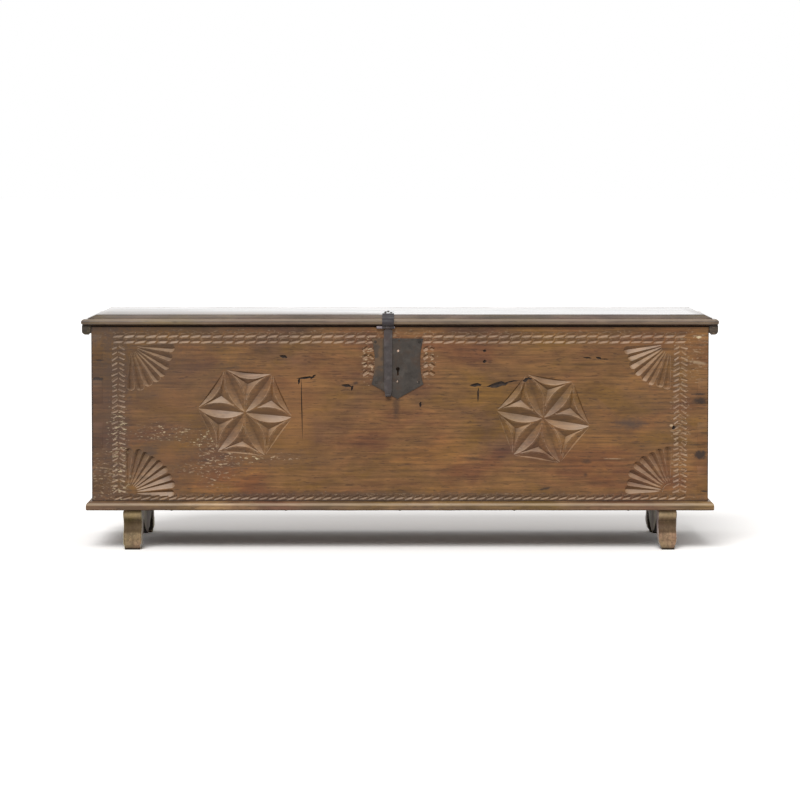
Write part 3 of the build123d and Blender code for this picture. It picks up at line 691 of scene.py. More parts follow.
class Finishes:
    """Every material of the chest, built once. Wood is given its deep, dull, body and warm colours."""

    def __init__(self, face: float, lid_top: float) -> None:
        """Builds the materials.

        Args:
            face: Y of the carved board's face.
            lid_top: Z of the lid's top.
        """
        self.face = face
        self.front = WoodFinish(
            "front_wood",
            "3A2413",
            "855F42",
            "9D7042",
            "A97640",
            # Painted shade in the corner where the front meets the bottom board
            levels=(Level(0.1145, 0.1180, "2A1D15", 0.6),),
            marks=FRONT_MARKS,
            flecks=FRONT_FLECKS,
            cut_from=face,
        ).build()
        inner = ("3A2413", "67482F", "7E5632", "925F31")
        self.board = WoodFinish("board_wood", *inner, pith=(0.0, -0.1, -0.2)).build()
        self.side = WoodFinish("side_wood", *inner, Grain.DEEP, pith=(0.0, 0.4, -0.4)).build()
        self.lid = WoodFinish(
            "lid_wood",
            "3A281A",
            "5E4632",
            "745538",
            "8A653F",
            pith=(0.0, 0.05, -0.75),
            contrast=0.6,
            roughness=0.2,
            sheen=0.5,
            polish=1.0,
            relief=0.00008,
        ).build()
        self.nose = WoodFinish(
            "lid_edge_wood",
            "33261C",
            "6E5D4F",
            "846F5B",
            "9A8168",
            contrast=0.9,
            roughness=0.42,
            # A dark strip along the top edge, a painted highlight on the nose's upper round, a paler line
            # lower on the nose, and painted shade on its underside
            levels=(
                Level(lid_top - 0.0020, lid_top + 0.001, "2E221A", 0.5),
                Level(lid_top - 0.0146, lid_top - 0.0100, "DCC5AA", 0.18),
                Level(lid_top - 0.0215, lid_top - 0.0175, "C4A98C", 0.22),
                Level(lid_top - 0.026, lid_top - 0.022, "33261C", 0.6),
            ),
            marks=NOSE_MARKS,
        ).build()
        self.cleat = WoodFinish(
            "cleat_wood",
            "1E1712",
            "3C322A",
            "51453A",
            "6A5949",
            contrast=1.2,
            # Painted shade along the cleat's top, under the lid
            levels=(Level(lid_top - 0.0272, lid_top, "14100C", 0.85),),
            flecks=CLEAT_FLECKS,
        ).build()
        self.edge = WoodFinish(
            "edge_wood",
            "4A3423",
            "80644A",
            "9F7B57",
            "BC9668",
            contrast=1.2,
            roughness=0.42,
            # Painted highlight on the moulding's upper round, painted shade along its lower edge
            levels=(Level(0.1045, 0.1105, "EBCFA8", 0.20), Level(0.0925, 0.0960, "4A3423", 0.5)),
            marks=EDGE_MARKS,
        ).build()
        self.foot = WoodFinish(
            "foot_wood",
            "4A3A28",
            "A08A68",
            "C4A87F",
            "D8BE92",
            Grain.DEEP,
            pith=(0.0, 0.1, -0.05),
            roughness=0.7,
            levels=FOOT_LIGHT_AND_SHADE,
        ).build()
        # A pale grey copy of the foot's wood for its long sides: weathered grey, and made paler as painted
        # light on sides that stand in shade
        self.foot_side = WoodFinish(
            "foot_side_wood",
            "2A2420",
            "C0B4A6",
            "E8DDD0",
            "F2E8DA",
            Grain.UPRIGHT,
            pith=(0.0, 0.1, -0.05),
            contrast=0.7,
            roughness=0.7,
        ).build()
        # A dark copy of the foot's wood for the arch: painted shade
        self.foot_under = WoodFinish(
            "foot_under_wood", "15100C", "2E261F", "3C3229", "4A3E32", Grain.DEEP, roughness=0.8
        ).build()
        self.iron = IronFinish("forged_iron").build()
        self.plate = IronFinish("plate_iron", brown_left_of=-0.036).build()
        self.hasp = IronFinish("hasp_iron", "332D2C", "443E3D", "463C3A", "746C6B").build()
        self.strap = IronFinish("strap_iron", "221D20", "2E282B", "352D2F", roughness=0.55, metal=0.2).build()
        self.strap_top = IronFinish(
            "strap_top_iron",
            "3A3536",
            "4A4546",
            "4A4240",
            "6A6464",
            roughness=0.2,
            metal=0.2,
            polish=1.0,
            relief=0.00002,
        ).build()
        # A pale grey iron for the hasp's rod: a painted highlight
        self.pin = IronFinish("pin_highlight_iron", "5A5356", "8A8286", "756B6E", "B0A8AC").build()
        self.nail = IronFinish("nail_iron", "8A7468", "C9AC98", "B8957E", "E6D2C2", rubbed_share=0.6).build()
        self.grime_and_shade = GrimeAndShadeFinish("grime_and_shade").build()


class Bench:
    """Modelling moves that every piece shares."""

    @staticmethod
    def clear() -> None:
        """Leaves nothing selected, in object mode."""
        if bpy.context.mode != "OBJECT":
            bpy.ops.object.mode_set(mode="OBJECT")
        bpy.ops.object.select_all(action="DESELECT")

    @staticmethod
    def take(piece: Piece) -> None:
        """Makes one object the selected and active one.

        Args:
            piece: the object.
        """
        Bench.clear()
        piece.select_set(True)
        bpy.context.view_layer.objects.active = piece

    @staticmethod
    @contextmanager
    def editing(piece: Piece) -> Iterator[None]:
        """Holds a piece in edit mode, at first with all of it selected.

        Args:
            piece: the object.

        Yields:
            Nothing, while the piece is in edit mode.
        """
        Bench.take(piece)
        bpy.ops.object.mode_set(mode="EDIT")
        bpy.ops.mesh.select_all(action="SELECT")
        yield
        Bench.clear()

    @staticmethod
    def pick(piece: Piece, test: Callable[[Vector], bool]) -> None:
        """Selects, in edit mode, the vertices whose place passes a test.

        Args:
            piece: the object in edit mode.
            test: takes a vertex's place.
        """
        shape = bmesh.from_edit_mesh(piece.data)
        for vertex in shape.verts:
            vertex.select = test(vertex.co)
        shape.select_flush_mode()
        bmesh.update_edit_mesh(piece.data)

    @staticmethod
    def twin(node: str, name: str) -> Piece:
        """Copies a CAD node as a merged mesh of clean flat faces.

        Args:
            node: the node's name.
            name: the copy's name.

        Returns:
            The copy, free of its body.
        """
        Bench.take(frame["nodes"][node])
        bpy.ops.object.duplicate()
        piece = bpy.context.active_object
        piece.name = name
        piece.parent = None
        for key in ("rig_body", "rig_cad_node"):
            del piece[key]
        piece.data.materials.clear()
        with Bench.editing(piece):
            bpy.ops.mesh.customdata_custom_splitnormals_clear()
            bpy.ops.mesh.remove_doubles(threshold=MERGE)
            bpy.ops.mesh.dissolve_limited(angle_limit=math.radians(0.2))
        return piece

    @staticmethod
    def reach(piece: Piece, axis: int) -> tuple[float, float]:
        """Gives the lowest and highest coordinate of a mesh along an axis."""
        places = [v.co[axis] for v in piece.data.vertices]
        return min(places), max(places)

    @staticmethod
    def slices(piece: Piece, axis: int, step: float) -> None:
        """Cuts the mesh across an axis at even steps, without opening it.

        Args:
            piece: the object.
            axis: 0, 1 or 2 for X, Y or Z.
            step: greatest distance between two cuts.
        """
        low, high = Bench.reach(piece, axis)
        count = math.ceil((high - low) / step)
        normal = [float(i == axis) for i in range(3)]
        with Bench.editing(piece):
            for i in range(1, count):
                at = [n * (low + (high - low) * i / count) for n in normal]
                bpy.ops.mesh.select_all(action="SELECT")
                bpy.ops.mesh.bisect(plane_co=at, plane_no=normal)

    @staticmethod
    def finish_with(piece: Piece, kind: str, **settings: object) -> None:
        """Adds a modifier and applies it.

        Args:
            piece: the object.
            kind: the modifier's type.
            settings: property names and their values.
        """
        Bench.take(piece)
        modifier = piece.modifiers.new(kind.lower(), kind)
        for key, value in settings.items():
            setattr(modifier, key, value)
        bpy.ops.object.modifier_apply(modifier=modifier.name)

    @staticmethod
    def round_edges(piece: Piece, width: float, angle: float = 35.0) -> None:
        """Rounds every edge sharper than an angle in degrees."""
        limit = {"limit_method": "ANGLE", "angle_limit": math.radians(angle), "use_clamp_overlap": True}
        Bench.finish_with(piece, "BEVEL", width=width, segments=2, **limit)

    @staticmethod
    def wear(piece: Piece, size: float, amount: float, depth: int = 2) -> None:
        """Wears the surface inwards by an uneven amount.

        Args:
            piece: the object.
            size: size of the hollows in metres.
            amount: greatest depth in metres.
            depth: octaves of the unevenness.
        """
        texture = bpy.data.textures.new(piece.name + "_wear", "CLOUDS")
        texture.noise_scale = size
        texture.noise_depth = depth
        Bench.finish_with(
            piece, "DISPLACE", texture=texture, texture_coords="GLOBAL", strength=-amount, mid_level=0.0
        )

    @staticmethod
    def smooth(piece: Piece, angle: float = 30.0) -> None:
        """Shades the piece smooth, apart from its sharp edges.

        Args:
            piece: the object.
            angle: edges sharper than this stay sharp, in degrees.
        """
        Bench.take(piece)
        bpy.ops.object.shade_smooth_by_angle(angle=math.radians(angle))
        Bench.clear()

    @staticmethod
    def flatten_face(piece: Piece, axis: int, level: float) -> None:
        """Shades the faces that lie in one plane flat.

        Args:
            piece: the object.
            axis: 0, 1 or 2 for X, Y or Z.
            level: the plane's coordinate.
        """
        with Bench.editing(piece):
            bpy.ops.mesh.select_all(action="DESELECT")
            bpy.ops.mesh.select_mode(type="FACE")
            shape = bmesh.from_edit_mesh(piece.data)
            for face in shape.faces:
                face.select = all(abs(v.co[axis] - level) < MERGE for v in face.verts)
            bmesh.update_edit_mesh(piece.data)
            bpy.ops.mesh.faces_shade_flat()
            bpy.ops.mesh.select_mode(type="VERT")

    @staticmethod
    def join(parts: Sequence[Piece], name: str) -> Piece:
        """Joins several objects into one with its place in its mesh.

        Args:
            parts: the objects.
            name: name of the joined object.

        Returns:
            The joined object.
        """
        Bench.take(parts[0])
        for part in parts:
            part.select_set(True)
        bpy.ops.object.join()
        whole = bpy.context.active_object
        whole.name = name
        bpy.ops.object.transform_apply(location=True, rotation=True, scale=True)
        with Bench.editing(whole):
            bpy.ops.mesh.normals_make_consistent(inside=False)
        return whole

    @staticmethod
    def dress(piece: Piece, *coats: Coat, choose: Callable[[Face], int] | None = None) -> None:
        """Gives a piece its materials.

        Args:
            piece: the object.
            coats: the materials.
            choose: takes a face and returns its material's index, if there are several materials.
        """
        piece.data.materials.clear()
        for coat in coats:
            piece.data.materials.append(coat)
        if choose is not None:
            for face in piece.data.polygons:
                face.material_index = choose(face)

    @staticmethod
    def place(piece: Piece, body: str, slot: Slot, node: str) -> None:
        """Hangs a dressed piece on its body in place of its CAD node.

        Args:
            piece: the object.
            body: the body it moves with.
            slot: the record's slot; not used.
            node: the CAD node it stands for.
        """
        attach(piece, body)
        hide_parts(node)
        log.info("%s: %d faces on %s", piece.name, len(piece.data.polygons), body)


@dataclass(frozen=True)
class Station:
    """One cross-section of a carved trough."""

    along: float
    low: float
    high: float
    valley: float
    depth: float


class Chip:
    """Makes the solids that a knife takes out of the board, with the board's face at Y = 0."""

    clearance = 0.004  # how far a chip's solid stands in front of the face

    @classmethod
    def shape(cls, name: str, target: Callable[[Vector], tuple[float, float, float]]) -> Piece:
        """Pulls the sheet just added into shape and grows it into a closed solid with a flat front.

        Args:
            name: the chip's name.
            target: takes a vertex's place in the sheet and returns its place in the chip.

        Returns:
            The solid.
        """
        piece = bpy.context.active_object
        piece.name = name
        with Bench.editing(piece):
            places = [v.co.copy() for v in bmesh.from_edit_mesh(piece.data).verts]
            for index, at in enumerate(places):
                sheet = bmesh.from_edit_mesh(piece.data)
                sheet.verts.ensure_lookup_table()
                bpy.ops.mesh.select_all(action="DESELECT")
                sheet.verts[index].select_set(True)
                bpy.ops.transform.translate(value=Vector(target(at)) - at)
            bpy.ops.mesh.select_all(action="SELECT")
            forward = (0.0, -10 * cls.clearance, 0.0)
            bpy.ops.mesh.extrude_region_move(TRANSFORM_OT_translate={"value": forward})
            Bench.pick(piece, lambda at: at.y < -5 * cls.clearance)
            bpy.ops.transform.resize(value=(1.0, 0.0, 1.0), center_override=(0.0, -cls.clearance, 0.0))
            bpy.ops.mesh.select_all(action="SELECT")
            bpy.ops.mesh.remove_doubles(threshold=MERGE)
            bpy.ops.mesh.normals_make_consistent(inside=False)
        return piece

    @classmethod
    def trough(cls, name: str, stations: Sequence[Station]) -> Piece:
        """Models a V-shaped chip from its cross-sections.

        Args:
            name: the chip's name.
            stations: cross-sections from one end to the other.

        Returns:
            The chip's solid, along X.
        """
        Bench.clear()
        steps = len(stations) - 1
        bpy.ops.mesh.primitive_grid_add(x_subdivisions=steps, y_subdivisions=2, size=1.0)

        def target(at: Vector) -> tuple[float, float, float]:
            """Takes a vertex to its station's valley or to one of its two rims.

            Args:
                at: the vertex's place in the sheet.

            Returns:
                Its place in the chip.
            """
            station = stations[round((at.x + 0.5) * steps)]
            row = round((at.y + 0.5) * 2)
            across = (station.low, station.valley, station.high)[row]
            return station.along, station.depth if row == 1 else 0.0, across

        return cls.shape(name, target)

    @classmethod
    def star(
        cls, name: str, outline: Sequence[tuple[float, float]], apex: tuple[float, float], depth: float
    ) -> Piece:
        """Models a pit with one deepest point.

        Args:
            name: the chip's name.
            outline: its rim on the face, anticlockwise.
            apex: where the deepest point is.
            depth: how deep it is.

        Returns:
            The chip's solid.
        """
        Bench.clear()
        count = len(outline)
        bpy.ops.mesh.primitive_circle_add(vertices=count, radius=1.0, fill_type="TRIFAN")

        def target(at: Vector) -> tuple[float, float, float]:
            """Takes the middle vertex to the deepest point and the others to the outline.

            Args:
                at: the vertex's place in the sheet.

            Returns:
                Its place in the chip.
            """
            if at.length < 0.5:
                return apex[0], depth, apex[1]
            share = math.atan2(at.y, at.x) % math.tau / math.tau
            x, z = outline[round(share * count) % count]
            return x, 0.0, z

        return cls.shape(name, target)


@dataclass
class Knife:
    """Sets copies of chips on the front board, a little unevenly, as a hand does."""

    face: float
    finish: Coat
    grime_and_shade: Coat
    cuts: list[Piece] = field(default_factory=list)
    luck: random.Random = field(default_factory=lambda: random.Random(1740))

    def cut(
        self,
        master: Piece,
        x: float,
        z: float,
        turn: float = 0.0,
        size: tuple[float, float, float] = (1.0, 1.0, 1.0),
        slip: float = 0.0,
        dirt_and_shade: bool = False,
    ) -> None:
        """Sets one chip on the face.

        Args:
            master: the chip's solid.
            x: place along the chest.
            z: place above the floor.
            turn: turn from +X towards +Z, in radians.
            size: scale along the chip, into the board and across it.
            slip: spread of the hand's error, as a share of the size.
            dirt_and_shade: whether it takes the dark finish rather than being a clean cut: old dirt in a
                broken place, or painted shade in the open joint under the lid.
        """
        chip = master.copy()
        chip.data = master.data.copy()
        bpy.context.scene.collection.objects.link(chip)
        Bench.dress(chip, self.grime_and_shade if dirt_and_shade else self.finish)
        wobble = [1 + self.luck.uniform(-slip, slip) for _ in range(3)]
        chip.location = (x, self.face, z)
        chip.rotation_euler = (0.0, -turn - self.luck.uniform(-slip, slip), 0.0)
        chip.scale = [s * w for s, w in zip(size, wobble)]
        self.cuts.append(chip)

    def layers(self) -> list[list[Piece]]:
        """Sorts the chips into groups in which none touches another.

        Returns:
            The groups.
        """
        bpy.context.view_layer.update()
        groups: list[list[tuple[Piece, tuple[float, ...]]]] = []
        for chip in self.cuts:
            corners = [chip.matrix_world @ Vector(corner) for corner in chip.bound_box]
            xs, zs = [c.x for c in corners], [c.z for c in corners]
            box = (min(xs), max(xs), min(zs), max(zs))
            for group in groups:
                if all(
                    box[1] < other[0] or other[1] < box[0] or box[3] < other[2] or other[3] < box[2]
                    for _, other in group
                ):
                    group.append((chip, box))
                    break
            else:
                groups.append([(chip, box)])
        return [[chip for chip, _ in group] for group in groups]

    def carve(self, board: Piece) -> None:
        """Takes every chip out of the board.

        Args:
            board: the board.
        """
        Bench.dress(board, self.finish)
        solving = {"operation": "DIFFERENCE", "solver": "MANIFOLD", "material_mode": "TRANSFER"}
        for group in self.layers():
            cutter = Bench.join(group, "chips")
            Bench.finish_with(board, "BOOLEAN", object=cutter, **solving)
            bpy.data.objects.remove(cutter)


@dataclass(frozen=True)
class Rosette:
    """Six-petalled compass rosette in a hexagon, with its turn in degrees."""

    x: float
    z: float
    turn: float


@dataclass(frozen=True)
class RosetteChips:
    """The three chips that repeat in a rosette. Tips are half angles in degrees, shares are of the radius."""

    radius: float = 0.112
    petal_half: float = 0.0178
    petal_tips: tuple[float, float] = (30.0, 34.0)
    rim_sag: float = 0.0165
    rim_tip: float = 22.0
    pit_ends: tuple[float, float] = (0.24, 0.89)
    pit_apex: float = 0.61
    pit_depth: float = 0.0068
    land: float = 0.0004
    steepness: float = 0.40
    steps: int = 12

    @staticmethod
    def arc(share: float, chord: float, sag: float) -> float:
        """Gives the height of a circular arc over its chord.

        Args:
            share: place along the chord, from 0 to 1.
            chord: the chord's length.
            sag: the arc's greatest height.

        Returns:
            The height there.
        """
        radius = (chord**2 / 4 + sag**2) / (2 * sag)
        return math.sqrt(radius**2 - ((share - 0.5) * chord) ** 2) - radius + sag

    def petal_edge(self, along: float) -> float:
        """Gives a petal's half width at a distance from the rosette's centre.

        Args:
            along: the distance.

        Returns:
            The half width.
        """
        lens = self.arc(along / self.radius, self.radius, self.petal_half)
        inner, outer = (math.tan(math.radians(tip)) for tip in self.petal_tips)
        return max(0.0, min(lens, along * inner, (self.radius - along) * outer) - self.land)

    def rim_edge(self, share: float) -> float:
        """Gives a rim chip's height at a share of the side between two tips.

        Args:
            share: place along the side, from 0 to 1.

        Returns:
            The height.
        """
        tip = min(share, 1 - share) * self.radius * math.tan(math.radians(self.rim_tip))
        return max(0.0, min(self.arc(share, self.radius, self.rim_sag), tip - self.land))

    def petal(self) -> Piece:
        """Models a petal: a lens with a valley along its middle.

        Returns:
            The petal.
        """
        stations = []
        for i in range(self.steps + 1):
            along = self.radius * (0.02 + 0.965 * i / self.steps)
            half = 0.0 if i in (0, self.steps) else self.petal_edge(along)
            stations.append(Station(along, -half, half, 0.0, half * self.steepness))
        return Chip.trough("petal", stations)

    def rim(self) -> Piece:
        """Models a rim chip: deep along the hexagon's side, rising inwards to an arc.

        Returns:
            The rim chip.
        """
        side = self.radius * math.cos(math.radians(30))
        stations = []
        for i in range(self.steps + 1):
            share = 0.015 + 0.97 * i / self.steps
            height = 0.0 if i in (0, self.steps) else self.rim_edge(share)
            along = (share - 0.5) * self.radius
            stations.append(Station(along, side - height, side, side - 0.2 * height, 0.24 * height))
        return Chip.trough("rim", stations)

    def pit(self) -> Piece:
        """Models the three-pointed pit between two petals and a rim chip.

        Returns:
            The pit.
        """
        cos, sin = math.cos(math.radians(30)), math.sin(math.radians(30))
        inner, outer = (share * self.radius for share in self.pit_ends)
        edge = []
        for i in range(self.steps + 1):
            along = inner + (outer - inner) * i / self.steps
            lift = self.petal_edge(along) + 2 * self.land
            edge.append((along * cos + lift * sin, min(-along * sin + lift * cos, -self.land / 2)))
        corner = edge[-1][1]
        arc = []
        for i in range(1, self.steps):
            z = corner + (-2 * corner) * i / self.steps
            arc.append((self.radius * cos - self.rim_edge(z / self.radius + 0.5) - 1.5 * self.land, z))
        mirrored = [(x, -z) for x, z in reversed(edge)]
        return Chip.star("pit", edge + arc + mirrored, (self.pit_apex * self.radius, 0.0), self.pit_depth)

    def carve(self, knife: Knife, rosettes: Sequence[Rosette]) -> None:
        """Sets the chips of every rosette.

        Args:
            knife: the knife to use.
            rosettes: the rosettes.
        """
        petal, rim, pit = self.petal(), self.rim(), self.pit()
        for rosette in rosettes:
            for k in range(6):
                turn = math.radians(rosette.turn) + k * math.pi / 3
                knife.cut(petal, rosette.x, rosette.z, turn)
                knife.cut(pit, rosette.x, rosette.z, turn + math.pi / 6)
                knife.cut(rim, rosette.x, rosette.z, turn - math.pi / 3)
        for master in (petal, rim, pit):
            bpy.data.objects.remove(master)


@dataclass(frozen=True)
class Fan:
    """Quarter fan in a corner: rays from a hub to scalloped ends. Start and sweep are in degrees."""

    x: float
    z: float
    start: float
    sweep: float
    across: float
    upright: float
    rays: int
    hub: float
    pearls: int = 0
    lean: float = 0.3
    land: float = 0.0003
    steepness: float = 0.58
    steps: int = 6
    slip: float = 0.025
    pearl_radius: float = 0.002
    pearl_depth: float = 0.0015
    pearl_inset: float = 0.0035

    @property
    def mean(self) -> float:
        """Gives the mean length of the rays."""
        return (self.across + self.upright) / 2

    def ray(self) -> Piece:
        """Models one ray, a groove that widens to a rounded end.

        Returns:
            The ray.
        """
        spread = math.tan(math.radians(self.sweep) / 2 / self.rays)
        round_end = 0.8 * self.mean * spread
        straight = self.mean - round_end
        stations = []
        for i in range(self.steps + 1):
            along = self.hub + (straight - self.hub) * i / self.steps
            half = along * spread - self.land / 2
            deep = half * self.steepness
            if i == 0:
                half, deep = 0.45 * half, 0.0
            stations.append(Station(along, -half, half, self.lean * half, deep))
        for turn in (25.0, 50.0, 75.0):
            half = (straight * spread - self.land / 2) * math.cos(math.radians(turn))
            deep = straight * spread * self.steepness * (1.1 - turn / 110)
            along = straight + round_end * math.sin(math.radians(turn))
            stations.append(Station(along, -half, half, self.lean * half, deep))
        return Chip.trough("ray", stations)

    def pearl(self) -> Piece:
        """Models one pearl, a small round pit.

        Returns:
            The pearl.
        """
        turns = [math.pi * i / 4 for i in range(8)]
        rim = [(self.pearl_radius * math.cos(turn), self.pearl_radius * math.sin(turn)) for turn in turns]
        return Chip.star("pearl", rim, (0.0, 0.0), self.pearl_depth)

    def carve(self, knife: Knife) -> None:
        """Sets the fan's rays, and the pearls round its hub if it has them.

        Args:
            knife: the knife to use.
        """
        ray, pearl = self.ray(), self.pearl()
        pitch = self.sweep / self.rays
        for k in range(self.rays):
            turn = math.radians(self.start + pitch * (k + 0.5))
            reach = math.hypot(self.across * math.cos(turn), self.upright * math.sin(turn))
            knife.cut(ray, self.x, self.z, turn, (reach / self.mean, 1.0, 1.0), self.slip)
        ring = self.hub - self.pearl_inset
        for k in range(self.pearls):
            turn = math.radians(self.start + self.sweep * (k + 0.5) / self.pearls)
            knife.cut(pearl, self.x + ring * math.cos(turn), self.z + ring * math.sin(turn), turn, slip=0.1)
        for master in (ray, pearl):
            bpy.data.objects.remove(master)


@dataclass(frozen=True)
class Notch:
    """A notch that repeats in a row, a slanted parallelogram with a valley. Its turn is in degrees."""

    pitch: float
    length: float
    height: float
    depth: float
    turn: float
    slant: float
    valley: float = 0.1
    slip: float = 0.07

    def solid(self) -> Piece:
        """Models the notch.

        Returns:
            Its solid.
        """
        half, rise = self.length / 2, self.height / 2
        lean, valley = self.slant * rise, self.valley * rise
        stations = [
            Station(-half, -rise, rise, valley, 0.35 * self.depth),
            Station(-0.55 * half, -rise, rise, valley, self.depth),
            Station(0.75 * half, -rise, rise, valley, self.depth),
            Station(half, -0.7 * rise, 0.8 * rise, valley, 0.5 * self.depth),
        ]
        piece = Chip.trough("notch", stations)
        with Bench.editing(piece):
            for low in (True, False):
                Bench.pick(piece, lambda at: (at.z < -0.4 * rise) == low and abs(at.z) > 0.4 * rise)
                bpy.ops.transform.translate(value=(-lean if low else lean, 0.0, 0.0))
        return piece

    def carve(
        self,
        knife: Knife,
        start: tuple[float, float],
        end: tuple[float, float],
        gap: tuple[float, float] = (0.0, 0.0),
        tilt: int = 1,
    ) -> None:
        """Sets a row of notches.

        Args:
            knife: the knife to use.
            start: X and Z of one end of the row.
            end: X and Z of its other end.
            gap: stretch along X that stays plain.
            tilt: 1 if the notches turn as given, -1 if they turn the other way.
        """
        master = self.solid()
        first = Vector(start)
        run = Vector(end) - first
        count = round(run.length / self.pitch)
        for k in range(count):
            at = first + run * (k + 0.5) / count
            if not gap[0] < at.x < gap[1]:
                knife.cut(master, at.x, at.y, tilt * math.radians(self.turn), slip=self.slip)
        bpy.data.objects.remove(master)


@dataclass(frozen=True)
class Gash:
    """A broken place on the front, with its turn in degrees."""

    x: float
    z: float
    length: float
    height: float
    depth: float
    turn: float


GASHES = (
    Gash(-0.2315, 0.333, 0.155, 0.0026, 0.004, 91),
    Gash(-0.222, 0.4065, 0.046, 0.006, 0.004, 4),
    Gash(-0.205, 0.4085, 0.018, 0.005, 0.004, 40),
    Gash(-0.238, 0.398, 0.016, 0.006, 0.004, 80),
    Gash(-0.2745, 0.4565, 0.020, 0.008, 0.004, -12),
    Gash(-0.126, 0.388, 0.026, 0.008, 0.004, -8),
    Gash(-0.113, 0.382, 0.014, 0.006, 0.004, 70),
    Gash(0.178, 0.3895, 0.030, 0.009, 0.004, 3),
    Gash(0.184, 0.366, 0.036, 0.0045, 0.003, 88),
    Gash(0.2295, 0.3900, 0.052, 0.014, 0.004, 9),
    Gash(0.262, 0.3975, 0.034, 0.004, 0.003, 10),
    Gash(0.299, 0.4020, 0.026, 0.012, 0.004, 14),
    Gash(0.199, 0.470, 0.009, 0.007, 0.004, 0),
    Gash(0.199, 0.445, 0.010, 0.008, 0.004, 20),
    Gash(0.048, 0.343, 0.014, 0.006, 0.004, 84),
    Gash(0.441, 0.4535, 0.022, 0.004, 0.003, -6),
    Gash(0.468, 0.4530, 0.016, 0.006, 0.004, -20),
    Gash(0.482, 0.4505, 0.018, 0.003, 0.003, -4),
    Gash(0.6455, 0.2885, 0.011, 0.010, 0.006, 30),
)

# The gash that the others are scaled from, and its length, depth and height
GASH_STATIONS = (
    Station(-0.050, 0.0, 0.0, 0.0, 0.0),
    Station(-0.030, -0.0032, 0.0020, -0.0005, 0.0028),
    Station(-0.005, -0.0050, 0.0042, 0.0005, 0.0040),
    Station(0.020, -0.0028, 0.0050, 0.0012, 0.0036),
    Station(0.036, -0.0036, 0.0016, -0.0010, 0.0024),
    Station(0.050, 0.0, 0.0, 0.0, 0.0),
)
GASH_SIZE = (0.1, 0.004, 0.01)


@dataclass(frozen=True)
class FrontBoard:
    """The carved front board: bands, fans, rosettes and old damage."""

    face: float
    low: float
    high: float
    half: float
    slice_step: float = 0.045
    facet_angle: float = 16.0
    rim_inset: float = 0.0005
    rim_drop: float = 0.0002
    rim_half: float = 0.004
    rim_depth: float = 0.005
    band_inset: float = 0.052
    band_drop: float = 0.0156
    row: float = 0.0136
    base_row: float = 0.0092
    ladder_ends: tuple[float, float] = (0.018, 0.003)
    column_ends: tuple[float, float] = (0.408, 0.4845)
    lock_gap: tuple[float, float] = (-0.062, 0.054)
    upright_bands: tuple[tuple[float, float], ...] = ((-0.646, -0.681), (0.642, 0.679))
    lock_columns: tuple[tuple[float, int], ...] = ((-0.082, 1), (-0.067, -1), (0.0605, 1), (0.0756, -1))
    rope: Notch = Notch(0.026, 0.0246, 0.0124, 0.0028, 5.0, 0.5, -0.25)
    base: Notch = Notch(0.0216, 0.0205, 0.0098, 0.0025, 14.0, 0.6, -0.3)
    ladder: Notch = Notch(0.0127, 0.0150, 0.0074, 0.0014, 28.0, 0.2, slip=0.2)
    column: Notch = Notch(0.0187, 0.0124, 0.0098, 0.0036, 28.0, 0.2, slip=0.2)
    rosettes: tuple[Rosette, ...] = (Rosette(-0.3655, 0.3235, 54.7), Rosette(0.3375, 0.3100, 50.8))
    fans: tuple[Fan, ...] = (
        Fan(-0.633, 0.481, -97.0, 100.0, 0.101, 0.107, 8, 0.013, lean=-0.25),
        Fan(-0.643, 0.133, -5.0, 97.0, 0.113, 0.107, 9, 0.022, lean=0.3),
        Fan(0.638, 0.487, 182.0, 89.0, 0.110, 0.108, 8, 0.022, lean=-0.1),
        Fan(0.638, 0.138, 87.0, 98.0, 0.106, 0.104, 8, 0.022, 9, lean=-0.05),
    )

    def bands(self, knife: Knife) -> None:
        """Sets the bands of notches along the board, at its ends and beside the lock.

        Args:
            knife: the knife to use.
        """
        reach = self.half - self.band_inset
        top = self.high - self.band_drop
        for i in range(2):
            z = top - self.row * (0.5 + i)
            self.rope.carve(knife, (-reach, z), (reach, z), self.lock_gap)
        z = self.low + self.base_row
        self.base.carve(knife, (-reach, z), (reach, z))
        low, high = self.low + self.ladder_ends[0], top - 2 * self.row - self.ladder_ends[1]
        for inner, outer in self.upright_bands:
            for share, tilt in ((0.5, 1), (1.5, -1)):
                x = min(inner, outer) + abs(outer - inner) / 2 * share
                self.ladder.carve(knife, (x, low), (x, high), tilt=tilt)
        low, high = self.column_ends
        for x, tilt in self.lock_columns:
            self.column.carve(knife, (x, low), (x, high), tilt=tilt)

    def damage(self, knife: Knife) -> None:
        """Sets the crack, gouges, knot holes and worm holes, and the open joint under the lid, whose dark
        fill is painted shade.

        Args:
            knife: the knife to use.
        """
        master = Chip.trough("gash", GASH_STATIONS)
        for gash in GASHES:
            size = tuple(a / b for a, b in zip((gash.length, gash.depth, gash.height), GASH_SIZE))
            knife.cut(master, gash.x, gash.z, math.radians(gash.turn), size, dirt_and_shade=True)
        # The open joint under the lid, filled with the dark finish as painted shade
        reach, half = self.half - self.rim_inset, self.rim_half
        stations = [Station(x, -half, half, 0.0, self.rim_depth) for x in (-reach, 0.0, reach)]
        rim = Chip.trough("rim_gap", stations)
        knife.cut(rim, 0.0, self.high - self.rim_drop, dirt_and_shade=True)
        for used in (master, rim):
            bpy.data.objects.remove(used)

    def build(self, finishes: Finishes) -> None:
        """Carves the board.

        Args:
            finishes: the chest's materials.
        """
        board = Bench.twin("front_board", "carved_front_board")
        for axis in (0, 2):
            Bench.slices(board, axis, self.slice_step)
        knife = Knife(self.face, finishes.front, finishes.grime_and_shade)
        RosetteChips().carve(knife, self.rosettes)
        for fan in self.fans:
            fan.carve(knife)
        self.bands(knife)
        self.damage(knife)
        knife.carve(board)
        Bench.smooth(board, self.facet_angle)
        Bench.flatten_face(board, 1, self.face)
        Bench.place(board, "case", Slot.CARCASE, "front_board")


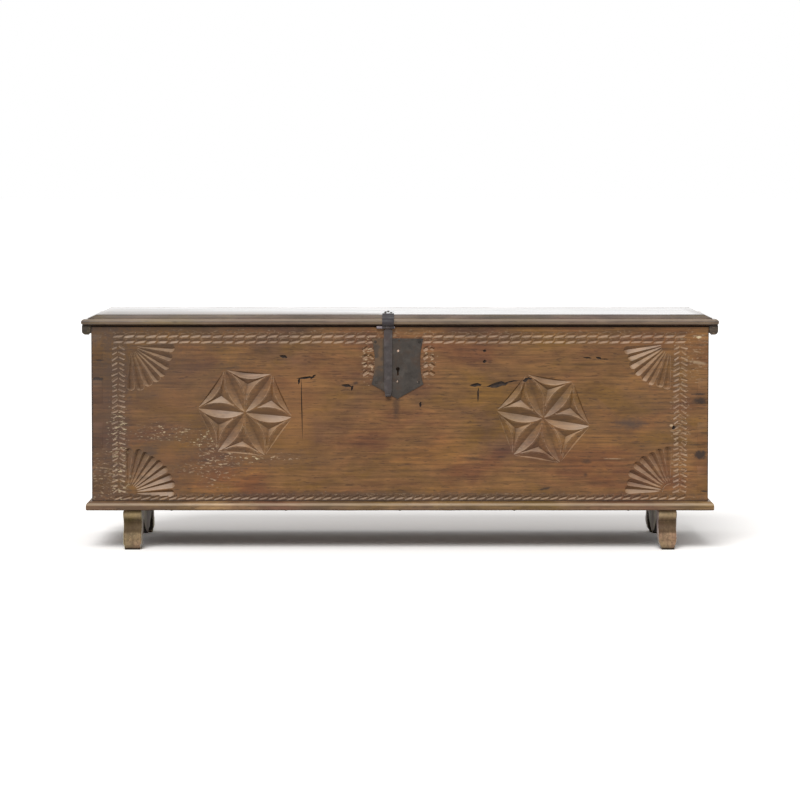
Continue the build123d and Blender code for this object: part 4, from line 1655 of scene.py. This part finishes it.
@dataclass(frozen=True)
class Carcase:
    """Back and side boards with eased edges."""

    edge_round: float = 0.0009

    def build(self, finishes: Finishes) -> None:
        """Makes the boards that carry no carving.

        Args:
            finishes: the chest's materials.
        """
        back = Bench.twin("back_board", "planed_back_board")
        Bench.round_edges(back, self.edge_round)
        Bench.smooth(back)
        Bench.dress(back, finishes.board)
        Bench.place(back, "case", Slot.CARCASE, "back_board")
        front = finishes.face + 0.001
        for side in Side:
            node = side.value + "_side_board"
            board = Bench.twin(node, side.value + "_end_board")
            Bench.round_edges(board, self.edge_round)
            Bench.smooth(board)
            Bench.dress(board, finishes.side, finishes.front, choose=lambda face: int(face.center.y < front))
            Bench.place(board, "case", Slot.CARCASE, node)


@dataclass(frozen=True)
class Base:
    """Moulded bottom board and the two worn runner feet. A sole step is a height and a share of the width."""

    voxel: float = 0.0032
    slice_step: float = 0.03
    edge_round: float = 0.0006
    edge_angle: float = 50.0
    board_wear: tuple[float, float] = (0.05, 0.0012)
    foot_wear: tuple[float, float, int] = (0.022, 0.0014, 3)
    arch_reach: float = 0.19
    toe_reach: float = 0.0035
    toe_steps: tuple[float, ...] = (0.016, 0.011, 0.007)
    sole_height: float = 0.004
    sole_shift: float = 0.004
    sole_steps: tuple[tuple[tuple[float, float], ...], ...] = (
        ((0.013, 0.96), (0.009, 0.95), (0.0055, 0.96)),
        ((0.024, 0.95), (0.017, 0.94), (0.011, 0.90), (0.006, 0.88)),
    )

    def build(self, finishes: Finishes) -> None:
        """Makes the bottom board and the feet.

        Args:
            finishes: the chest's materials.
        """
        bottom = Bench.twin("bottom_board", "moulded_bottom_board")
        Bench.slices(bottom, 0, self.slice_step)
        Bench.round_edges(bottom, self.edge_round, self.edge_angle)
        Bench.wear(bottom, *self.board_wear)
        Bench.smooth(bottom)
        Bench.dress(bottom, finishes.edge)
        Bench.place(bottom, "case", Slot.EDGE, "bottom_board")
        for side, steps in zip(Side, self.sole_steps):
            node = side.value + "_runner_foot"
            foot = Bench.twin(node, side.value + "_worn_foot")
            Bench.finish_with(foot, "REMESH", mode="VOXEL", voxel_size=self.voxel)
            Bench.finish_with(foot, "SMOOTH", factor=0.6, iterations=3)
            Bench.wear(foot, *self.foot_wear)
            self.worn_sole(foot, steps)
            Bench.smooth(foot, 180.0)
            Bench.dress(foot, finishes.foot, finishes.foot_side, finishes.foot_under, choose=self.coat)
            Bench.place(foot, "case", Slot.FOOT, node)

    def coat(self, face: Face) -> int:
        """Chooses a foot's finish: 0 on its ends and sole, 1 on its long sides, paler as painted light, 2 in
        its arch, darker as painted shade.

        Args:
            face: a face of the foot.

        Returns:
            The finish's index.
        """
        if abs(face.normal.x) > 0.7:
            return 1
        return 2 if abs(face.center.y) < self.arch_reach and face.center.z > self.sole_height else 0

    def worn_sole(self, foot: Piece, steps: Sequence[tuple[float, float]]) -> None:
        """Sets a foot flat on the floor and narrows its worn lower edges.

        Args:
            foot: the foot.
            steps: heights below which it narrows, and the share of its width that is left.
        """
        low, high = Bench.reach(foot, 0)
        middle = ((low + high) / 2 + self.sole_shift, 0.0, 0.0)
        with Bench.editing(foot):
            for below, narrow in steps:
                Bench.pick(foot, lambda at: at.z < below)
                bpy.ops.transform.resize(value=(narrow, 1.0, 1.0), center_override=middle)
            for below in self.toe_steps:
                Bench.pick(foot, lambda at: at.z < below and at.y < -self.arch_reach)
                bpy.ops.transform.translate(value=(0.0, -self.toe_reach, 0.0))
            Bench.pick(foot, lambda at: at.z < self.voxel * 1.3)
            bpy.ops.transform.resize(value=(1.0, 1.0, 0.0), center_override=(0.0, 0.0, 0.0))


@dataclass(frozen=True)
class Lid:
    """Lid board with its moulded edge, and the cleats under its ends."""

    slice_step: float = 0.03
    edge_round: float = 0.0007
    edge_angle: float = 50.0
    board_wear: tuple[float, float] = (0.06, 0.0006)
    cleat_round: float = 0.0015
    slope: float = 0.0325

    def build(self, finishes: Finishes) -> None:
        """Makes the lid's wooden pieces.

        Args:
            finishes: the chest's materials.
        """
        lid = Bench.twin("lid_board", "worn_lid_board")
        Bench.slices(lid, 0, self.slice_step)
        Bench.round_edges(lid, self.edge_round, self.edge_angle)
        Bench.wear(lid, *self.board_wear)
        Bench.smooth(lid)
        front = Bench.reach(lid, 1)[0] + self.slope
        coats = (finishes.nose, finishes.lid, finishes.board)
        Bench.dress(lid, *coats, choose=lambda face: self.coat(face, front))
        Bench.place(lid, "lid", Slot.LID, "lid_board")
        for side in Side:
            node = side.value + "_lid_cleat"
            cleat = Bench.twin(node, side.value + "_worn_cleat")
            Bench.round_edges(cleat, self.cleat_round)
            Bench.smooth(cleat)
            Bench.dress(cleat, finishes.cleat)
            Bench.place(cleat, "lid", Slot.LID, node)

    @staticmethod
    def coat(face: Face, front: float) -> int:
        """Chooses the lid's finish: 0 on its moulded edge, 1 on its top, 2 underneath.

        Args:
            face: a face of the lid.
            front: Y where the flat top starts.

        Returns:
            The finish's index.
        """
        if face.normal.z < -0.95:
            return 2
        return int(face.normal.z > 0.9 and face.center.y > front)


@dataclass(frozen=True)
class Ironwork:
    """Lock plate, hasp, strap and the hasp's rod with eased forged edges; the hinges and the other iron keep
    their frame meshes.
    """

    edge_round: float = 0.0005
    bright_heads: tuple[tuple[float, float], ...] = ((-0.006, 0.4705), (-0.009, 0.3985), (0.0376, 0.396))
    bright_radius: float = 0.004
    bright_front: float = -0.2225
    strap_bend: float = -0.2065

    def build(self, finishes: Finishes) -> None:
        """Makes the pieces of the lock and dresses what keeps its frame mesh.

        Args:
            finishes: the chest's materials.
        """
        for node, body, coats in (
            ("lock_plate", "case", (finishes.plate,)),
            ("hasp_strap", "lid", (finishes.strap, finishes.strap_top)),
            ("hasp", "hasp", (finishes.hasp,)),
            ("hasp_pin", "lid", (finishes.pin,)),
        ):
            piece = Bench.twin(node, "forged_" + node)
            Bench.round_edges(piece, self.edge_round)
            Bench.smooth(piece)
            Bench.dress(piece, *coats, choose=self.is_bent if len(coats) > 1 else None)
            Bench.place(piece, body, Slot.IRON, node)
        for name, node in frame["nodes"].items():
            if node.hide_render:
                continue
            plain = finishes.foot if name == "foot_pegs" else finishes.iron
            Bench.dress(node, plain, finishes.nail, choose=self.is_bright)
            log.info("%s keeps its frame mesh", name)

    def is_bent(self, face: Face) -> int:
        """Tells whether a face is on the part of the strap that lies on the lid's top."""
        return int(face.center.y > self.strap_bend)

    def is_bright(self, face: Face) -> int:
        """Tells whether a face is on one of the nail heads that are rubbed bright.

        Args:
            face: a face of the iron.

        Returns:
            1 if it is, 0 if not.
        """
        x, y, z = face.center
        near = any(math.hypot(x - a, z - b) < self.bright_radius for a, b in self.bright_heads)
        return int(y < self.bright_front and near)


@dataclass(frozen=True)
class Studio:
    """Pale floor, white surroundings, soft overhead light and the camera. Turns are in degrees."""

    camera_place: tuple[float, float, float] = (0.0, -8.6, 0.90)
    camera_turn: tuple[float, float, float] = (90 - 3.73, 0.0, 0.0)
    lens: float = 160.3
    sensor: float = 36.0
    floor_size: float = 400.0
    floor_seen: tuple[float, float, float] = (1.30, 1.28, 1.26)
    floor_lit: tuple[float, float, float] = (0.42, 0.41, 0.40)
    light_turn: tuple[float, float, float] = (47.0, 0.0, -12.0)
    light_width: float = 32.0
    light_strength: float = 1.95
    ambient: float = 0.57

    @staticmethod
    def stand(data: bpy.types.ID, turn: Sequence[float]) -> Piece:
        """Adds a camera or lamp to the scene.

        Args:
            data: the camera or lamp.
            turn: its turn about X, Y and Z in degrees.

        Returns:
            The object.
        """
        piece = bpy.data.objects.new(data.name, data)
        piece.rotation_euler = [math.radians(t) for t in turn]
        bpy.context.scene.collection.objects.link(piece)
        return piece

    def camera(self) -> None:
        """Adds the camera at the photograph's place."""
        data = bpy.data.cameras.new("camera")
        data.lens = self.lens
        data.sensor_width = self.sensor
        data.clip_end = 100.0
        camera = self.stand(data, self.camera_turn)
        camera.location = self.camera_place
        bpy.context.scene.camera = camera

    def lamp(self) -> None:
        """Adds the broad soft light from above and in front of the chest."""
        data = bpy.data.lights.new("soft_light", "SUN")
        data.energy = self.light_strength
        data.angle = math.radians(self.light_width)
        self.stand(data, self.light_turn)

    def floor(self) -> None:
        """Adds a floor that looks white and keeps the chest's shadow."""
        Bench.clear()
        bpy.ops.mesh.primitive_plane_add(size=self.floor_size)
        floor = bpy.context.active_object
        floor.name = "studio_floor"
        g = Graph(bpy.data.materials.new("studio_floor"))
        tones = (self.floor_lit, self.floor_seen)
        lit, seen = (g.add("BsdfDiffuse", {"Color": tone}).outputs[0] for tone in tones)
        choice = g.add("MixShader", {0: g.seen(), 1: lit, 2: seen})
        g.add("OutputMaterial", {"Surface": choice.outputs[0]})
        Bench.dress(floor, g.owner)

    def world(self) -> None:
        """Makes the surroundings white to the camera and a plain soft light otherwise."""
        world = bpy.data.worlds.new("studio")
        bpy.context.scene.world = world
        g = Graph(world)
        strength = g.add("MapRange", {"Value": g.seen(), "To Min": self.ambient, "To Max": 1.0}).outputs[0]
        light = g.add("Background", {"Color": (1.0, 1.0, 1.0), "Strength": strength})
        g.add("OutputWorld", {"Surface": light.outputs[0]})

    def build(self) -> None:
        """Sets up the whole studio."""
        bpy.context.scene.view_settings.view_transform = "Standard"
        self.world()
        self.floor()
        self.lamp()
        self.camera()
        log.info("studio ready")


def main() -> None:
    """Builds the studio and every class of pieces in order."""
    logging.basicConfig(level=logging.INFO, format="%(name)s: %(message)s")
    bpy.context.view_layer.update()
    low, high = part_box("front_board")
    finishes = Finishes(low.y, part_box("lid_board")[1].z)
    Studio().build()
    for part in (FrontBoard(low.y, low.z, high.z, high.x), Carcase(), Base(), Lid(), Ironwork()):
        part.build(finishes)


if __name__ == "__main__":
    main()
